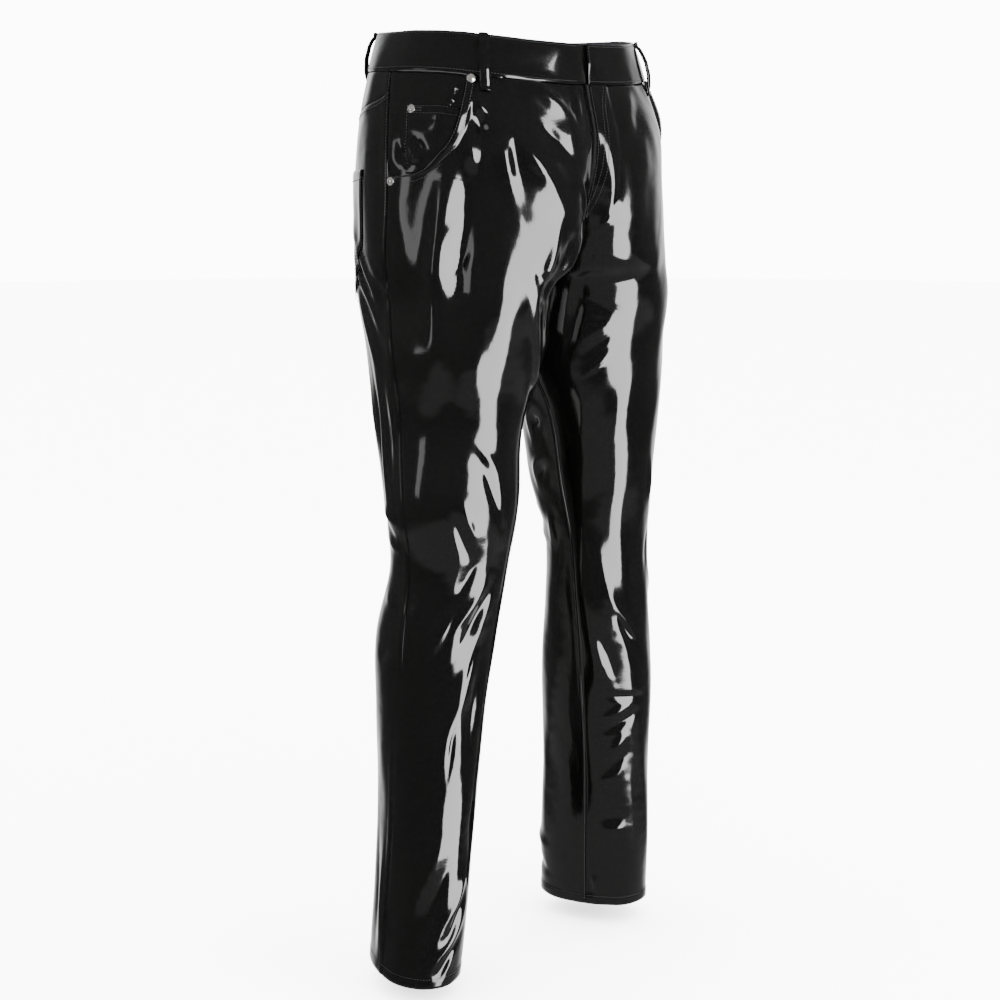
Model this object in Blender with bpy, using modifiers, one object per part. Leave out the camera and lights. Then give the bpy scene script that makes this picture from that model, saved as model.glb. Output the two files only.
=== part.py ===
"""Five-pocket trousers of glossy black pvc cloth, filled out as if worn, with no wearer.

Units are metres and +Z is up. The front faces -Y and the wearer's left is +X. The origin
is the middle of the waist opening, level with the waistband's top edge at the sides.

The bare form is a ring of cloth at each depth below the waist. It is one ring at the
waist, parts into two at the crotch, and follows each leg down to its hem. A place on it is
a depth (metres below the waist edge, measured at the side) and w (0 at the side of the
leg, 1 at the inner edge by way of the front, -1 at the inner edge by way of the back).
Every piece is cut out of this form between its own seams.
"""
import math
from collections import namedtuple

import bmesh
import bpy
import numpy as np
from mathutils import Matrix, Vector

RIGHT = -1
LEFT = 1
SIDE_NAMES = {RIGHT: "right", LEFT: "left"}

# ---------------------------------------------------------------- driving dimensions
CLOTH = 0.0012          # wall of one layer of pvc-coated cloth
BAND_CLOTH = 0.0024     # waistband: folded cloth, two layers
LOOP_CLOTH = 0.0018     # belt loop: folded strip
SEAM_GAP = 0.0003       # between pieces that meet edge to edge
LAYER_GAP = 0.0005      # between pieces that lie on each other

BAND_DEPTH = 0.044      # waistband, top edge to seam
CROTCH_DEPTH = 0.290
OUTSEAM = 1.066         # waist edge to hem at the side

SEAM_COLUMN = 0.004     # width of the narrow facets along a seam
UNDER_COLUMN = 0.016    # width of cloth along the pocket opening that has a facing under it
BAND_COLUMNS = 19       # lines across each half of the waistband
WIDE_COLUMNS = 10       # wide facets across a leg panel

LOOP_WIDTH = 0.010
LOOP_LENGTH = 0.060     # sewn from the waist edge to below the waistband seam
LOOP_STAND = 0.0092     # how far its middle stands off the waistband
LOOP_SEWN = 0.0055      # length that lies flat at each end
LOOP_EASE = 0.0004      # more room under the end that crosses a seam

# across the fly, measured past the middle line: the right front sinks and runs on hidden
# under the left one, and at the fly's lower end draws back
FLY_LAP = (-0.012, -0.001, SEAM_GAP / 2, 0.004, 0.012)
FLY_TIP = (-0.012, -0.001, -0.0005, 0.0, 0.0004)
FLY_BACK = (-0.012, -0.004, -0.003, -0.002, -SEAM_GAP / 2)
EDGE_COLUMNS = (0.004, 0.0065, 0.009, 0.012)   # facets along the middle line and inseam
FLY_END = 0.200         # depth where the overlap starts to close
BAND_LAP = 0.026        # waistband end that lies hidden under the left one

FACING_RISE = (0.020, 0.075)   # w past the side seam over which the facing sinks
FACING_DROP = (0.138, 0.152)   # depth over which it sinks at the opening's lower end
FACING_END = 0.176

COIN_TOP = 0.080        # depth of the coin pocket's top edge
COIN_END = 0.154
COIN_OUTER = 0.108      # w of its edge nearest the side seam

RIVET_RADIUS = 0.0047
RIVET_HEIGHT = 0.0026
RIVET_RIM = 0.0007

UNDER = CLOTH + LAYER_GAP      # depth of a face one layer down
FACING_SINK = UNDER + LAYER_GAP

# ---------------------------------------------------------------- the form's sections
# dip: how much lower the middle front or middle back lies than the side.
# split: 0 one ring round the body, 1 two rings, one for each leg.
# square: 1 an ellipse, less for fuller corners.
HipRow = namedtuple(
    "HipRow", "z dip_front dip_back side_x side_y front middle_front back middle_back split square")
HIP_ROWS = (
    HipRow(0.000, 0.014, -0.004, 0.155, 0.012, -0.110, -0.110, 0.143, 0.143, 0.00, 0.88),
    HipRow(-0.046, 0.014, -0.004, 0.175, 0.012, -0.112, -0.112, 0.132, 0.132, 0.00, 0.86),
    HipRow(-0.100, 0.015, -0.002, 0.190, 0.012, -0.143, -0.124, 0.140, 0.139, 0.25, 0.86),
    HipRow(-0.160, 0.013, 0.000, 0.196, 0.012, -0.147, -0.115, 0.151, 0.146, 0.50, 0.90),
    HipRow(-0.215, 0.007, 0.002, 0.197, 0.010, -0.143, -0.090, 0.151, 0.130, 0.75, 0.92),
    HipRow(-0.255, 0.003, 0.001, 0.195, 0.008, -0.133, -0.048, 0.141, 0.084, 0.92, 0.92),
    HipRow(-0.290, -0.010, -0.010, 0.190, 0.006, -0.121, 0.012, 0.125, 0.012, 1.00, 0.92),
)
# turn: degrees that the foot, and so the section, is turned outwards.
# tilt: how much lower the section's front is than its middle.
LegRow = namedtuple("LegRow", "z centre_x centre_y half_width front back turn tilt")
LEG_ROWS = {
    RIGHT: (
        LegRow(-0.344, -0.101, -0.005, 0.096, 0.103, 0.104, 0, 0.0),
        LegRow(-0.432, -0.111, -0.005, 0.076, 0.086, 0.089, 3, 0.0),
        LegRow(-0.520, -0.121, -0.019, 0.075, 0.072, 0.076, 6, 0.0),
        LegRow(-0.592, -0.121, -0.014, 0.067, 0.065, 0.065, 9, 0.0),
        LegRow(-0.673, -0.131, -0.003, 0.067, 0.067, 0.071, 12, 0.0),
        LegRow(-0.761, -0.140, -0.002, 0.060, 0.065, 0.070, 15, 0.0),
        LegRow(-0.882, -0.147, -0.001, 0.052, 0.064, 0.070, 18, 0.002),
        LegRow(-0.992, -0.154, 0.003, 0.050, 0.068, 0.073, 20, 0.004),
        LegRow(-OUTSEAM, -0.164, 0.002, 0.048, 0.065, 0.071, 21, 0.006),
    ),
    LEFT: (
        LegRow(-0.344, 0.104, 0.002, 0.095, 0.109, 0.116, 0, 0.0),
        LegRow(-0.432, 0.109, -0.018, 0.077, 0.083, 0.091, 3, 0.0),
        LegRow(-0.520, 0.115, -0.016, 0.067, 0.073, 0.076, 6, 0.0),
        LegRow(-0.592, 0.122, -0.020, 0.064, 0.058, 0.062, 9, 0.0),
        LegRow(-0.673, 0.128, -0.017, 0.060, 0.060, 0.066, 12, 0.0),
        LegRow(-0.761, 0.136, -0.010, 0.059, 0.066, 0.071, 15, 0.0),
        LegRow(-0.882, 0.144, -0.004, 0.052, 0.064, 0.071, 18, 0.0),
        LegRow(-0.992, 0.151, 0.005, 0.049, 0.067, 0.072, 20, 0.0),
        LegRow(-OUTSEAM, 0.158, 0.012, 0.048, 0.066, 0.071, 21, 0.0),
    ),
}
LEG_SQUARE = 0.92

# ---------------------------------------------------------------- seam lines
Knot = namedtuple("Knot", "depth w")
SIDE_SEAM = (
    Knot(0.000, -0.070), Knot(0.076, 0.000), Knot(0.130, 0.028), Knot(0.183, 0.030),
    Knot(0.237, 0.006), Knot(0.290, -0.006), Knot(0.340, -0.003), Knot(0.400, 0.014),
    Knot(0.510, 0.028), Knot(0.600, 0.085), Knot(0.668, 0.138), Knot(0.705, 0.145),
    Knot(0.745, 0.128), Knot(0.800, 0.105), Knot(0.880, 0.088), Knot(1.066, 0.085),
)
INSEAM_SHIFT = (Knot(0.290, 0.0), Knot(0.400, 0.010), Knot(0.600, 0.033), Knot(1.066, 0.035))
POCKET_OPENING = (
    Knot(0.044, 0.365), Knot(0.052, 0.363), Knot(0.071, 0.354), Knot(0.092, 0.340),
    Knot(0.112, 0.315), Knot(0.121, 0.296), Knot(0.132, 0.257), Knot(0.142, 0.223),
    Knot(0.150, 0.185), Knot(0.1545, 0.138), Knot(0.157, 0.083), Knot(0.158, 0.030),
)
POCKET_END = 0.158
YOKE_SIDE = 0.066        # depth of the yoke seam at the side seam
YOKE_DROP = 0.046        # how much deeper it lies at the centre back
YOKE_BEND = 0.65         # below 1: the drop starts steep at the side

# depths of the facet rows, and so of the corners that pieces share along their seams
TOP_ROWS = (0.052, 0.071, 0.092, 0.112, 0.132, 0.158, 0.176, 0.200)
LOW_ROWS = (0.230, 0.260, 0.290, 0.320, 0.360, 0.410, 0.465, 0.520, 0.575, 0.632, 0.690,
            0.761, 0.840, 0.920, 1.000)
POCKET_ROWS = (0.121, 0.145, 0.1545)   # more rows round the pocket opening
FLY_ROW = 0.207          # the right front has come out from under the left one
YOKE_FADE = 0.255        # below this depth the rows no longer follow the yoke's slant

# ---------------------------------------------------------------- sewn-on places
# back pocket outline, round from the top corner nearest the side seam
BACK_POCKET = (
    Knot(0.150, -0.143), Knot(0.158, -0.655), Knot(0.225, -0.642), Knot(0.280, -0.585),
    Knot(0.302, -0.405), Knot(0.284, -0.237), Knot(0.225, -0.165),
)

LoopPlace = namedtuple("LoopPlace", "name side w_top w_low")
LOOPS = (
    LoopPlace("front_right", RIGHT, 0.415, 0.450), LoopPlace("front_left", LEFT, 0.430, 0.445),
    LoopPlace("back_right", RIGHT, -0.430, -0.430), LoopPlace("back_left", LEFT, -0.430, -0.430),
    LoopPlace("centre_back", RIGHT, -1.0, -1.0),
)

# ---------------------------------------------------------------- largest folds
# soft ridges (height > 0) and troughs (height < 0) between two places on one side
Fold = namedtuple("Fold", "side depth_a w_a depth_b w_b reach height")
FOLDS = (
    # drag lines from the seat round to the thigh
    Fold(RIGHT, 0.235, -0.22, 0.345, 0.10, 0.022, 0.0035),
    Fold(LEFT, 0.240, -0.25, 0.340, 0.08, 0.022, 0.0035),
    # breaks behind the knee
    Fold(RIGHT, 0.545, -0.15, 0.560, -0.85, 0.030, -0.0050),
    Fold(LEFT, 0.540, -0.15, 0.552, -0.85, 0.030, -0.0050),
    Fold(RIGHT, 0.640, -0.20, 0.622, -0.85, 0.028, 0.0045),
    Fold(LEFT, 0.632, -0.20, 0.618, -0.85, 0.028, 0.0040),
    # slack that gathers above the hem
    Fold(RIGHT, 0.960, 0.35, 1.010, 0.80, 0.024, 0.0040),
    Fold(LEFT, 0.985, 0.30, 0.955, 0.80, 0.024, 0.0030),
)

SAMPLES = 361            # points along half a section, in equal steps
STEP = 0.001             # for slopes down the form
SIDE_STEP = 0.012        # for slopes round it, wide enough to even out a sharp edge


# ================================================================ the form
def rounded(value, power):
    """A cosine or sine with its size raised to a power, sign kept."""
    return np.sign(value) * np.abs(value) ** power


def equal_steps(points):
    """The same line with its points at equal distances."""
    lengths = np.linalg.norm(np.diff(points, axis=0), axis=1)
    walked = np.concatenate([[0.0], np.cumsum(lengths)])
    wanted = np.linspace(0.0, walked[-1], SAMPLES)
    return np.stack([np.interp(wanted, walked, points[:, axis]) for axis in range(3)], 1)


def hip_arc(row, side, back):
    """Half a section above the crotch, from the side to the middle front or back."""
    t = np.linspace(0.0, 1.0, SAMPLES)
    toward = (1 - np.cos(math.pi * t)) / 2
    if back:
        apex, middle, dip = row.back, row.middle_back, row.dip_back
    else:
        apex, middle, dip = row.front, row.middle_front, row.dip_front
    body_x = row.side_x * np.cos(math.pi * t / 2) ** row.square
    body_y = row.side_y + (middle - row.side_y) * np.sin(math.pi * t / 2) ** row.square
    leg_x = row.side_x * (1 + rounded(np.cos(math.pi * t), LEG_SQUARE)) / 2
    bulge = (apex - (row.side_y + middle) / 2) * np.abs(np.sin(math.pi * t)) ** LEG_SQUARE
    leg_y = row.side_y + (middle - row.side_y) * toward + bulge
    x = body_x + (leg_x - body_x) * row.split
    y = body_y + (leg_y - body_y) * row.split
    return np.stack([side * x, y, row.z - dip * toward], 1)


def leg_arc(row, side, back):
    """Half a section below the crotch, from the outside of the leg to its inside."""
    t = np.linspace(0.0, 1.0, SAMPLES)
    out = row.half_width * rounded(np.cos(math.pi * t), LEG_SQUARE)
    reach = np.abs(np.sin(math.pi * t)) ** LEG_SQUARE
    fore = (row.back if back else -row.front) * reach
    turn = math.radians(row.turn)
    x = row.centre_x + side * (out * math.cos(turn) - fore * math.sin(turn))
    y = row.centre_y + fore * math.cos(turn) + out * math.sin(turn)
    z = row.z + (row.tilt if back else -row.tilt) * reach
    return np.stack([x, y, z], 1)


def slopes(knots, values):
    """Slope at each knot, from its two neighbours."""
    steps = np.diff(knots).reshape([-1] + [1] * (values.ndim - 1))
    rises = np.diff(values, axis=0) / steps
    inner = (rises[:-1] * steps[1:] + rises[1:] * steps[:-1]) / (steps[:-1] + steps[1:])
    return np.concatenate([rises[:1], inner, rises[-1:]])


def smooth_between(knots, values, tangents, where):
    """Cubic through the knots; values and tangents already picked for each place."""
    index = np.clip(np.searchsorted(knots, where) - 1, 0, len(knots) - 2)
    step = (knots[index + 1] - knots[index])
    t = (where - knots[index]) / step
    start, end = values(index), values(index + 1)
    pull_a, pull_b = tangents(index), tangents(index + 1)
    shape = [-1] + [1] * (start.ndim - 1)
    t = t.reshape(shape)
    step = step.reshape(shape)
    return ((2 * t ** 3 - 3 * t ** 2 + 1) * start + (t ** 3 - 2 * t ** 2 + t) * step * pull_a
            + (-2 * t ** 3 + 3 * t ** 2) * end + (t ** 3 - t ** 2) * step * pull_b)


def build_form():
    """Sections, their depths and their slopes, for both halves of both sides."""
    form = {}
    for side in (RIGHT, LEFT):
        for back in (False, True):
            arcs = [equal_steps(hip_arc(row, side, back)) for row in HIP_ROWS]
            arcs += [equal_steps(leg_arc(row, side, back)) for row in LEG_ROWS[side]]
            depths = np.array([-row.z for row in HIP_ROWS + LEG_ROWS[side]])
            arcs = np.array(arcs)
            form[side, back] = (depths, arcs, slopes(depths, arcs))
    return form


FORM = build_form()


def half_ring(side, back, depth, u):
    """Points on one half of a side's sections."""
    depths, arcs, tangents = FORM[side, back]
    place = np.clip(u, 0.0, 1.0) * (SAMPLES - 1)
    low = np.minimum(place.astype(int), SAMPLES - 2)
    part = (place - low)[:, None]

    def pick(table):
        return lambda index: table[index, low] * (1 - part) + table[index, low + 1] * part

    points = smooth_between(depths, pick(arcs), pick(tangents), depth)
    points[:, 0] = side * np.maximum(side * points[:, 0], SEAM_GAP / 2)
    return points


def ring(side, depth, w):
    """Points on the bare form. Past w = 1 or -1 the ring goes on over the middle line
    into the other side above the crotch, and round the same leg below it."""
    depth, w = np.broadcast_arrays(np.asarray(depth, float), np.asarray(w, float))
    shape = depth.shape
    depth, w = depth.ravel(), w.ravel()
    over = np.abs(w) > 1.0
    folded = np.where(over, np.sign(w) * (2.0 - np.abs(w)), w)
    other_side = over & (depth < CROTCH_DEPTH)
    back = (folded < 0) ^ (over & ~other_side)
    points = np.empty((len(w), 3))
    for crossing in (False, True):
        for behind in (False, True):
            chosen = (other_side == crossing) & (back == behind)
            if chosen.any():
                here = -side if crossing else side
                points[chosen] = half_ring(here, behind, depth[chosen], np.abs(folded[chosen]))
    return points.reshape(shape + (3,))


def outward(side, depth, w):
    """Unit normals of the bare form, pointing out of the cloth."""
    down = ring(side, depth + STEP, w) - ring(side, depth - STEP, w)
    along = ring(side, depth, w + SIDE_STEP) - ring(side, depth, w - SIDE_STEP)
    normal = np.cross(down, along) * -side
    return normal / np.linalg.norm(normal, axis=-1, keepdims=True)


def half_length(side, depth, back):
    """Distance along the cloth from w = 0 to w = 1 or -1 at a depth."""
    u = np.linspace(0.0, 1.0, 40)
    points = ring(side, np.full_like(u, depth), -u if back else u)
    return float(np.linalg.norm(np.diff(points, axis=0), axis=1).sum())


def fold_height(side, depth, w):
    """How far the largest folds lift the cloth at each place."""
    total = np.zeros(np.shape(w))
    for fold in FOLDS:
        if fold.side != side:
            continue
        back = fold.w_a + fold.w_b < 0
        span = half_length(side, (fold.depth_a + fold.depth_b) / 2, back)
        ax, ay = fold.w_a * span, fold.depth_a
        bx, by = fold.w_b * span, fold.depth_b
        px, py = np.asarray(w) * span, np.asarray(depth)
        long = ((px - ax) * (bx - ax) + (py - ay) * (by - ay)) / ((bx - ax) ** 2 + (by - ay) ** 2)
        near = np.clip(long, 0.0, 1.0)
        away = np.hypot(px - ax - near * (bx - ax), py - ay - near * (by - ay))
        across = np.where(away < fold.reach, np.cos(math.pi / 2 * away / fold.reach) ** 2, 0.0)
        total += fold.height * across * np.sin(math.pi * (0.15 + 0.7 * near))
    return total


def cloth_point(side, depth, w, lift=0.0):
    """Points of a piece that lies lift above (or below) the form's outer face."""
    height = fold_height(side, depth, w) + lift
    return ring(side, depth, w) + outward(side, depth, w) * height[..., None]


def read_line(line, depth):
    """w of a line at a depth, smooth between its knots."""
    knots = np.array([knot.depth for knot in line])
    values = np.array([knot.w for knot in line])
    tangents = slopes(knots, values)
    where = np.clip(np.atleast_1d(depth), knots[0], knots[-1])
    found = smooth_between(knots, lambda i: values[i], lambda i: tangents[i], where)
    return float(found[0])


SEAM_ROWS = (0.0, BAND_DEPTH, *TOP_ROWS, *LOW_ROWS, OUTSEAM)
SEAM_W = [read_line(SIDE_SEAM, row) for row in SEAM_ROWS]


def side_seam(depth):
    """w of the side seam: straight between the shared corners."""
    return float(np.interp(depth, SEAM_ROWS, SEAM_W))


# ================================================================ cutting pieces
Panel = namedtuple("Panel", "side depth w points normals")


def make_panel(side, depth, w, lift=0.0):
    """A grid of places on one side and its points, lifted off the bare form."""
    return Panel(side, depth, w, cloth_point(side, depth, w, lift), outward(side, depth, w))


def ease(value, start, end):
    """0 before start, 1 after end, smooth between."""
    t = np.clip((value - start) / (end - start), 0.0, 1.0)
    return t * t * (3 - 2 * t)


def columns(start, end, length, seams):
    """w from start to end: narrow facets along the seams, wide ones between."""
    near, far = [width / length for width in seams[0]], [width / length for width in seams[1]]
    turn = 1 if end > start else -1
    inner = np.linspace(start + turn * near[-1], end - turn * far[-1], WIDE_COLUMNS + 1)
    head = [start] + [start + turn * width for width in near[:-1]]
    tail = [end - turn * width for width in reversed(far[:-1])] + [end]
    return np.concatenate([head, inner, tail])


def opening_edge(side, depth):
    """w of the front panel's outer edge: the pocket opening, then the side seam."""
    if depth >= POCKET_END:
        return side_seam(depth)
    return max(side_seam(depth), read_line(POCKET_OPENING, depth))


def front_panel(side):
    """A front panel. The right one runs on under the left one at the fly."""
    depths = [BAND_DEPTH + SEAM_GAP / 2, *sorted(TOP_ROWS + POCKET_ROWS + (FLY_ROW,)), *LOW_ROWS,
              OUTSEAM]
    grid_w = []
    grid_lift = []
    for depth in depths:
        length = half_length(side, depth, False)
        half_gap = SEAM_GAP / 2 / length
        start = opening_edge(side, depth) + half_gap
        end = 1 - read_line(INSEAM_SHIFT, depth) - half_gap
        row = columns(start, end, length, ((SEAM_COLUMN, UNDER_COLUMN), EDGE_COLUMNS))
        lift = np.zeros_like(row)
        if side == RIGHT and depth <= FLY_ROW:
            lap = FLY_LAP if depth < FLY_END else FLY_TIP if depth < FLY_ROW else FLY_BACK
            row[-len(lap):] = 1 + np.array(lap) / length
            lift[1 - len(lap):] = -UNDER if depth < FLY_END else -UNDER - 2 * LAYER_GAP
        grid_w.append(row)
        grid_lift.append(lift)
    grid_w = np.array(grid_w)
    grid_depth = np.repeat(np.array(depths)[:, None], grid_w.shape[1], 1)
    return make_panel(side, grid_depth, grid_w, np.array(grid_lift))


def back_row(side, level, nudge=0.0):
    """Depth and w across the back at a level read at the side seam. The rows slant with
    the yoke seam, less and less towards the waistband and the seat."""
    length = half_length(side, level, True)
    half_gap = SEAM_GAP / 2 / length
    start = side_seam(level) - half_gap
    end = -1 - read_line(INSEAM_SHIFT, level) + half_gap
    w = columns(start, end, length, ((SEAM_COLUMN,), (SEAM_COLUMN,)))
    slant = np.interp(level, (BAND_DEPTH, YOKE_SIDE, YOKE_FADE), (0.0, 1.0, 0.0))
    drop = YOKE_DROP * ((start - w) / (start - end)) ** YOKE_BEND
    return level + nudge + drop * slant, w


def back_panel(side):
    """A back panel, whose top edge follows the yoke seam."""
    rows = [back_row(side, YOKE_SIDE, SEAM_GAP / 2)]
    rows += [back_row(side, row) for row in TOP_ROWS + LOW_ROWS if row > YOKE_SIDE + SEAM_COLUMN]
    rows.append(back_row(side, OUTSEAM))
    return make_panel(side, *(np.array(part) for part in zip(*rows)))


def yoke_panel(side):
    """A yoke, from the waistband seam to the yoke seam."""
    rows = [back_row(side, BAND_DEPTH, SEAM_GAP / 2), back_row(side, TOP_ROWS[0]),
            back_row(side, YOKE_SIDE - SEAM_COLUMN), back_row(side, YOKE_SIDE, -SEAM_GAP / 2)]
    return make_panel(side, *(np.array(part) for part in zip(*rows)))


# ================================================================ mesh building
def make_material(name, colour, roughness, metallic):
    material = bpy.data.materials.new(name)
    material.use_nodes = True
    shader = material.node_tree.nodes["Principled BSDF"]
    shader.inputs["Base Color"].default_value = (*colour, 1.0)
    shader.inputs["Roughness"].default_value = roughness
    shader.inputs["Metallic"].default_value = metallic
    return material


def add_object(name, mesh, material, collection):
    mesh.materials.append(material)
    obj = bpy.data.objects.new(name, mesh)
    collection.objects.link(obj)
    return obj


def flat_grid(depth, w):
    """A triangulated grid in the cloth's own plane: x is w, y is depth."""
    rows, cols = depth.shape
    grid = bmesh.new()
    bmesh.ops.create_grid(grid, x_segments=cols - 1, y_segments=rows - 1, size=0.5)
    bmesh.ops.triangulate(grid, faces=grid.faces, quad_method="FIXED")
    for vert in grid.verts:
        column = round((vert.co.x + 0.5) * (cols - 1))
        row = round((vert.co.y + 0.5) * (rows - 1))
        vert.co = (w[row, column], depth[row, column], 0.0)
    return grid


def walled_mesh(name, sheet, points, normals, wall):
    """A sheet laid through the points, with a wall grown inwards from it."""
    inner = sheet.verts.layers.float_vector.new("inner")
    for vert, point, normal in zip(sheet.verts, points, normals):
        vert.co = Vector(point)
        vert[inner] = Vector(point - normal * wall)
    grown = bmesh.ops.extrude_face_region(sheet, geom=sheet.faces[:])
    for item in grown["geom"]:
        if isinstance(item, bmesh.types.BMVert):
            item.co = item[inner]
    bmesh.ops.recalc_face_normals(sheet, faces=sheet.faces)
    mesh = bpy.data.meshes.new(name)
    sheet.to_mesh(mesh)
    sheet.free()
    mesh.shade_smooth()
    return mesh


def panel_mesh(name, panel, wall):
    """A whole panel as a piece of cloth."""
    rows, cols = panel.w.shape
    column, row = np.meshgrid(np.arange(cols), np.arange(rows))
    sheet = flat_grid(row.astype(float), column.astype(float))
    places = [(round(vert.co.y), round(vert.co.x)) for vert in sheet.verts]
    points = [panel.points[place] for place in places]
    normals = [panel.normals[place] for place in places]
    return walled_mesh(name, sheet, points, normals, wall)


def on_facets(panel, depth, w):
    """Points on the flat facets of a panel, and where each place lies outside of it."""
    corner = np.stack([panel.w, panel.depth], -1)
    first = [corner[:-1, :-1], corner[:-1, 1:], corner[1:, 1:]]
    second = [corner[:-1, :-1], corner[1:, 1:], corner[1:, :-1]]
    place = [panel.points[:-1, :-1], panel.points[:-1, 1:], panel.points[1:, 1:]]
    place_b = [panel.points[:-1, :-1], panel.points[1:, 1:], panel.points[1:, :-1]]
    a, b, c = (np.concatenate([p.reshape(-1, 2), q.reshape(-1, 2)])
               for p, q in zip(first, second))
    pa, pb, pc = (np.concatenate([p.reshape(-1, 3), q.reshape(-1, 3)])
                  for p, q in zip(place, place_b))
    spot = np.stack([w, depth], -1)[:, None]
    area = np.cross(b - a, c - a)
    share_b = np.cross(spot - a, c - a) / area
    share_c = np.cross(b - a, spot - a) / area
    share_a = 1 - share_b - share_c
    least = np.minimum(np.minimum(share_a, share_b), share_c)
    best = np.argmax(least, axis=1)
    row = np.arange(len(best))
    points = (pa[best] * share_a[row, best, None] + pb[best] * share_b[row, best, None]
              + pc[best] * share_c[row, best, None])
    return points, least[row, best] < 0


def patch_mesh(name, panel, outline, lift, wall):
    """The part of a panel's facets inside a convex outline, lifted off the panel."""
    flat = flat_grid(panel.depth, panel.w)
    middle = Vector((sum(k.w for k in outline), sum(k.depth for k in outline), 0.0)) / len(outline)
    for knot, after in zip(outline, outline[1:] + outline[:1]):
        here = Vector((knot.w, knot.depth, 0.0))
        along = Vector((after.w, after.depth, 0.0)) - here
        away = Vector((along.y, -along.x, 0.0))
        if away.dot(middle - here) > 0:
            away = -away
        bmesh.ops.bisect_plane(flat, geom=flat.verts[:] + flat.edges[:] + flat.faces[:],
                               dist=1e-7, plane_co=here, plane_no=away, clear_outer=True)
    w = np.array([vert.co.x for vert in flat.verts])
    depth = np.array([vert.co.y for vert in flat.verts])
    normals = outward(panel.side, depth, w)
    points = on_facets(panel, depth, w)[0] + normals * lift
    return walled_mesh(name, flat, points, normals, wall)


def cloth_piece(name, panel, wall, material, collection):
    """One piece of cloth made from a panel's grid."""
    return add_object(name, panel_mesh(name, panel, wall), material, collection)


# ================================================================ the pieces
def make_panels(pvc, collection):
    """Fronts, backs and yokes. Gives the fronts and backs by side."""
    fronts, backs = {}, {}
    for side, word in SIDE_NAMES.items():
        fronts[side] = front_panel(side)
        backs[side] = back_panel(side)
        cloth_piece(f"front_{word}", fronts[side], CLOTH, pvc, collection)
        cloth_piece(f"back_{word}", backs[side], CLOTH, pvc, collection)
        cloth_piece(f"yoke_{word}", yoke_panel(side), CLOTH, pvc, collection)
    return fronts, backs


def make_waistband(pvc, collection):
    """One strip from its left end at the fly, round the back, to its right end, which
    runs on hidden under the left one."""
    depth_rows = (0.0, BAND_DEPTH / 3, 2 * BAND_DEPTH / 3, BAND_DEPTH - SEAM_GAP / 2)
    length = half_length(LEFT, BAND_DEPTH / 2, False)
    lap = BAND_LAP / length
    left_w = np.concatenate([[1.0, 0.98], np.linspace(0.94, -0.96, BAND_COLUMNS), [-1.0]])
    right_w = np.concatenate([np.linspace(-0.96, 0.92, BAND_COLUMNS),
                              [0.985, 1.0, 1 + lap / 2, 1 + lap]])
    under = np.interp(right_w, [0.92, 0.985], [0.0, -(BAND_CLOTH + LAYER_GAP)])
    depth = np.repeat(np.array(depth_rows)[:, None], len(left_w), 1)
    left = make_panel(LEFT, depth, np.repeat(left_w[None], len(depth_rows), 0))
    depth = np.repeat(np.array(depth_rows)[:, None], len(right_w), 1)
    right = make_panel(RIGHT, depth, np.repeat(right_w[None], len(depth_rows), 0), under)
    strip = Panel(LEFT, *(np.concatenate(pair, 1) for pair in zip(left[1:], right[1:])))
    cloth_piece("waistband", strip, BAND_CLOTH, pvc, collection)


def make_pocket_facing(panel, pvc, collection):
    """Facing in a front pocket's opening. It meets the back at the side seam and sinks
    under the front panel."""
    side = panel.side
    rows = [row for row in sorted(TOP_ROWS + POCKET_ROWS) if row < POCKET_END]
    rows = [BAND_DEPTH + SEAM_GAP / 2, *rows, (POCKET_END + FACING_END) / 2, FACING_END]
    grid_w = []
    for depth in rows:
        length = half_length(side, depth, False)
        start = side_seam(depth) + SEAM_GAP / 2 / length
        if depth > FACING_DROP[1]:
            start += SEAM_COLUMN / 2 / length
        edge = opening_edge(side, min(depth, 0.150))
        grid_w.append(np.append(np.linspace(start, edge, 7), edge + UNDER_COLUMN / length))
    w = np.array(grid_w)
    depth = np.repeat(np.array(rows)[:, None], w.shape[1], 1)
    seam = np.array([side_seam(row) for row in rows])[:, None]
    sink = np.maximum(ease(w - seam, *FACING_RISE), ease(depth, *FACING_DROP))
    points = cloth_point(side, depth, w)
    flat_points, outside = on_facets(panel, depth.ravel(), w.ravel())
    covered = ~outside.reshape(w.shape)
    points[covered] = flat_points.reshape(points.shape)[covered]
    normals = outward(side, depth, w)
    facing = Panel(side, depth, w, points - normals * (FACING_SINK * sink)[..., None], normals)
    cloth_piece(f"pocket_facing_{SIDE_NAMES[side]}", facing, CLOTH, pvc, collection)


def make_coin_pocket(pvc, collection):
    """Small patch on the right facing, which runs up to the front pocket's edge."""
    rows = (COIN_TOP, *(row for row in sorted(TOP_ROWS + POCKET_ROWS) if COIN_TOP < row < COIN_END))
    grid_w = []
    for depth in rows:
        end = opening_edge(RIGHT, depth) - SEAM_GAP / half_length(RIGHT, depth, False)
        grid_w.append(np.linspace(COIN_OUTER, end, 7))
    w = np.array(grid_w)
    depth = np.repeat(np.array(rows)[:, None], w.shape[1], 1)
    cloth_piece("coin_pocket", make_panel(RIGHT, depth, w), CLOTH, pvc, collection)


def make_back_pocket(panel, pvc, collection):
    """Patch pocket laid on a back panel."""
    name = f"back_pocket_{SIDE_NAMES[panel.side]}"
    add_object(name, patch_mesh(name, panel, BACK_POCKET, UNDER, CLOTH), pvc, collection)


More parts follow.
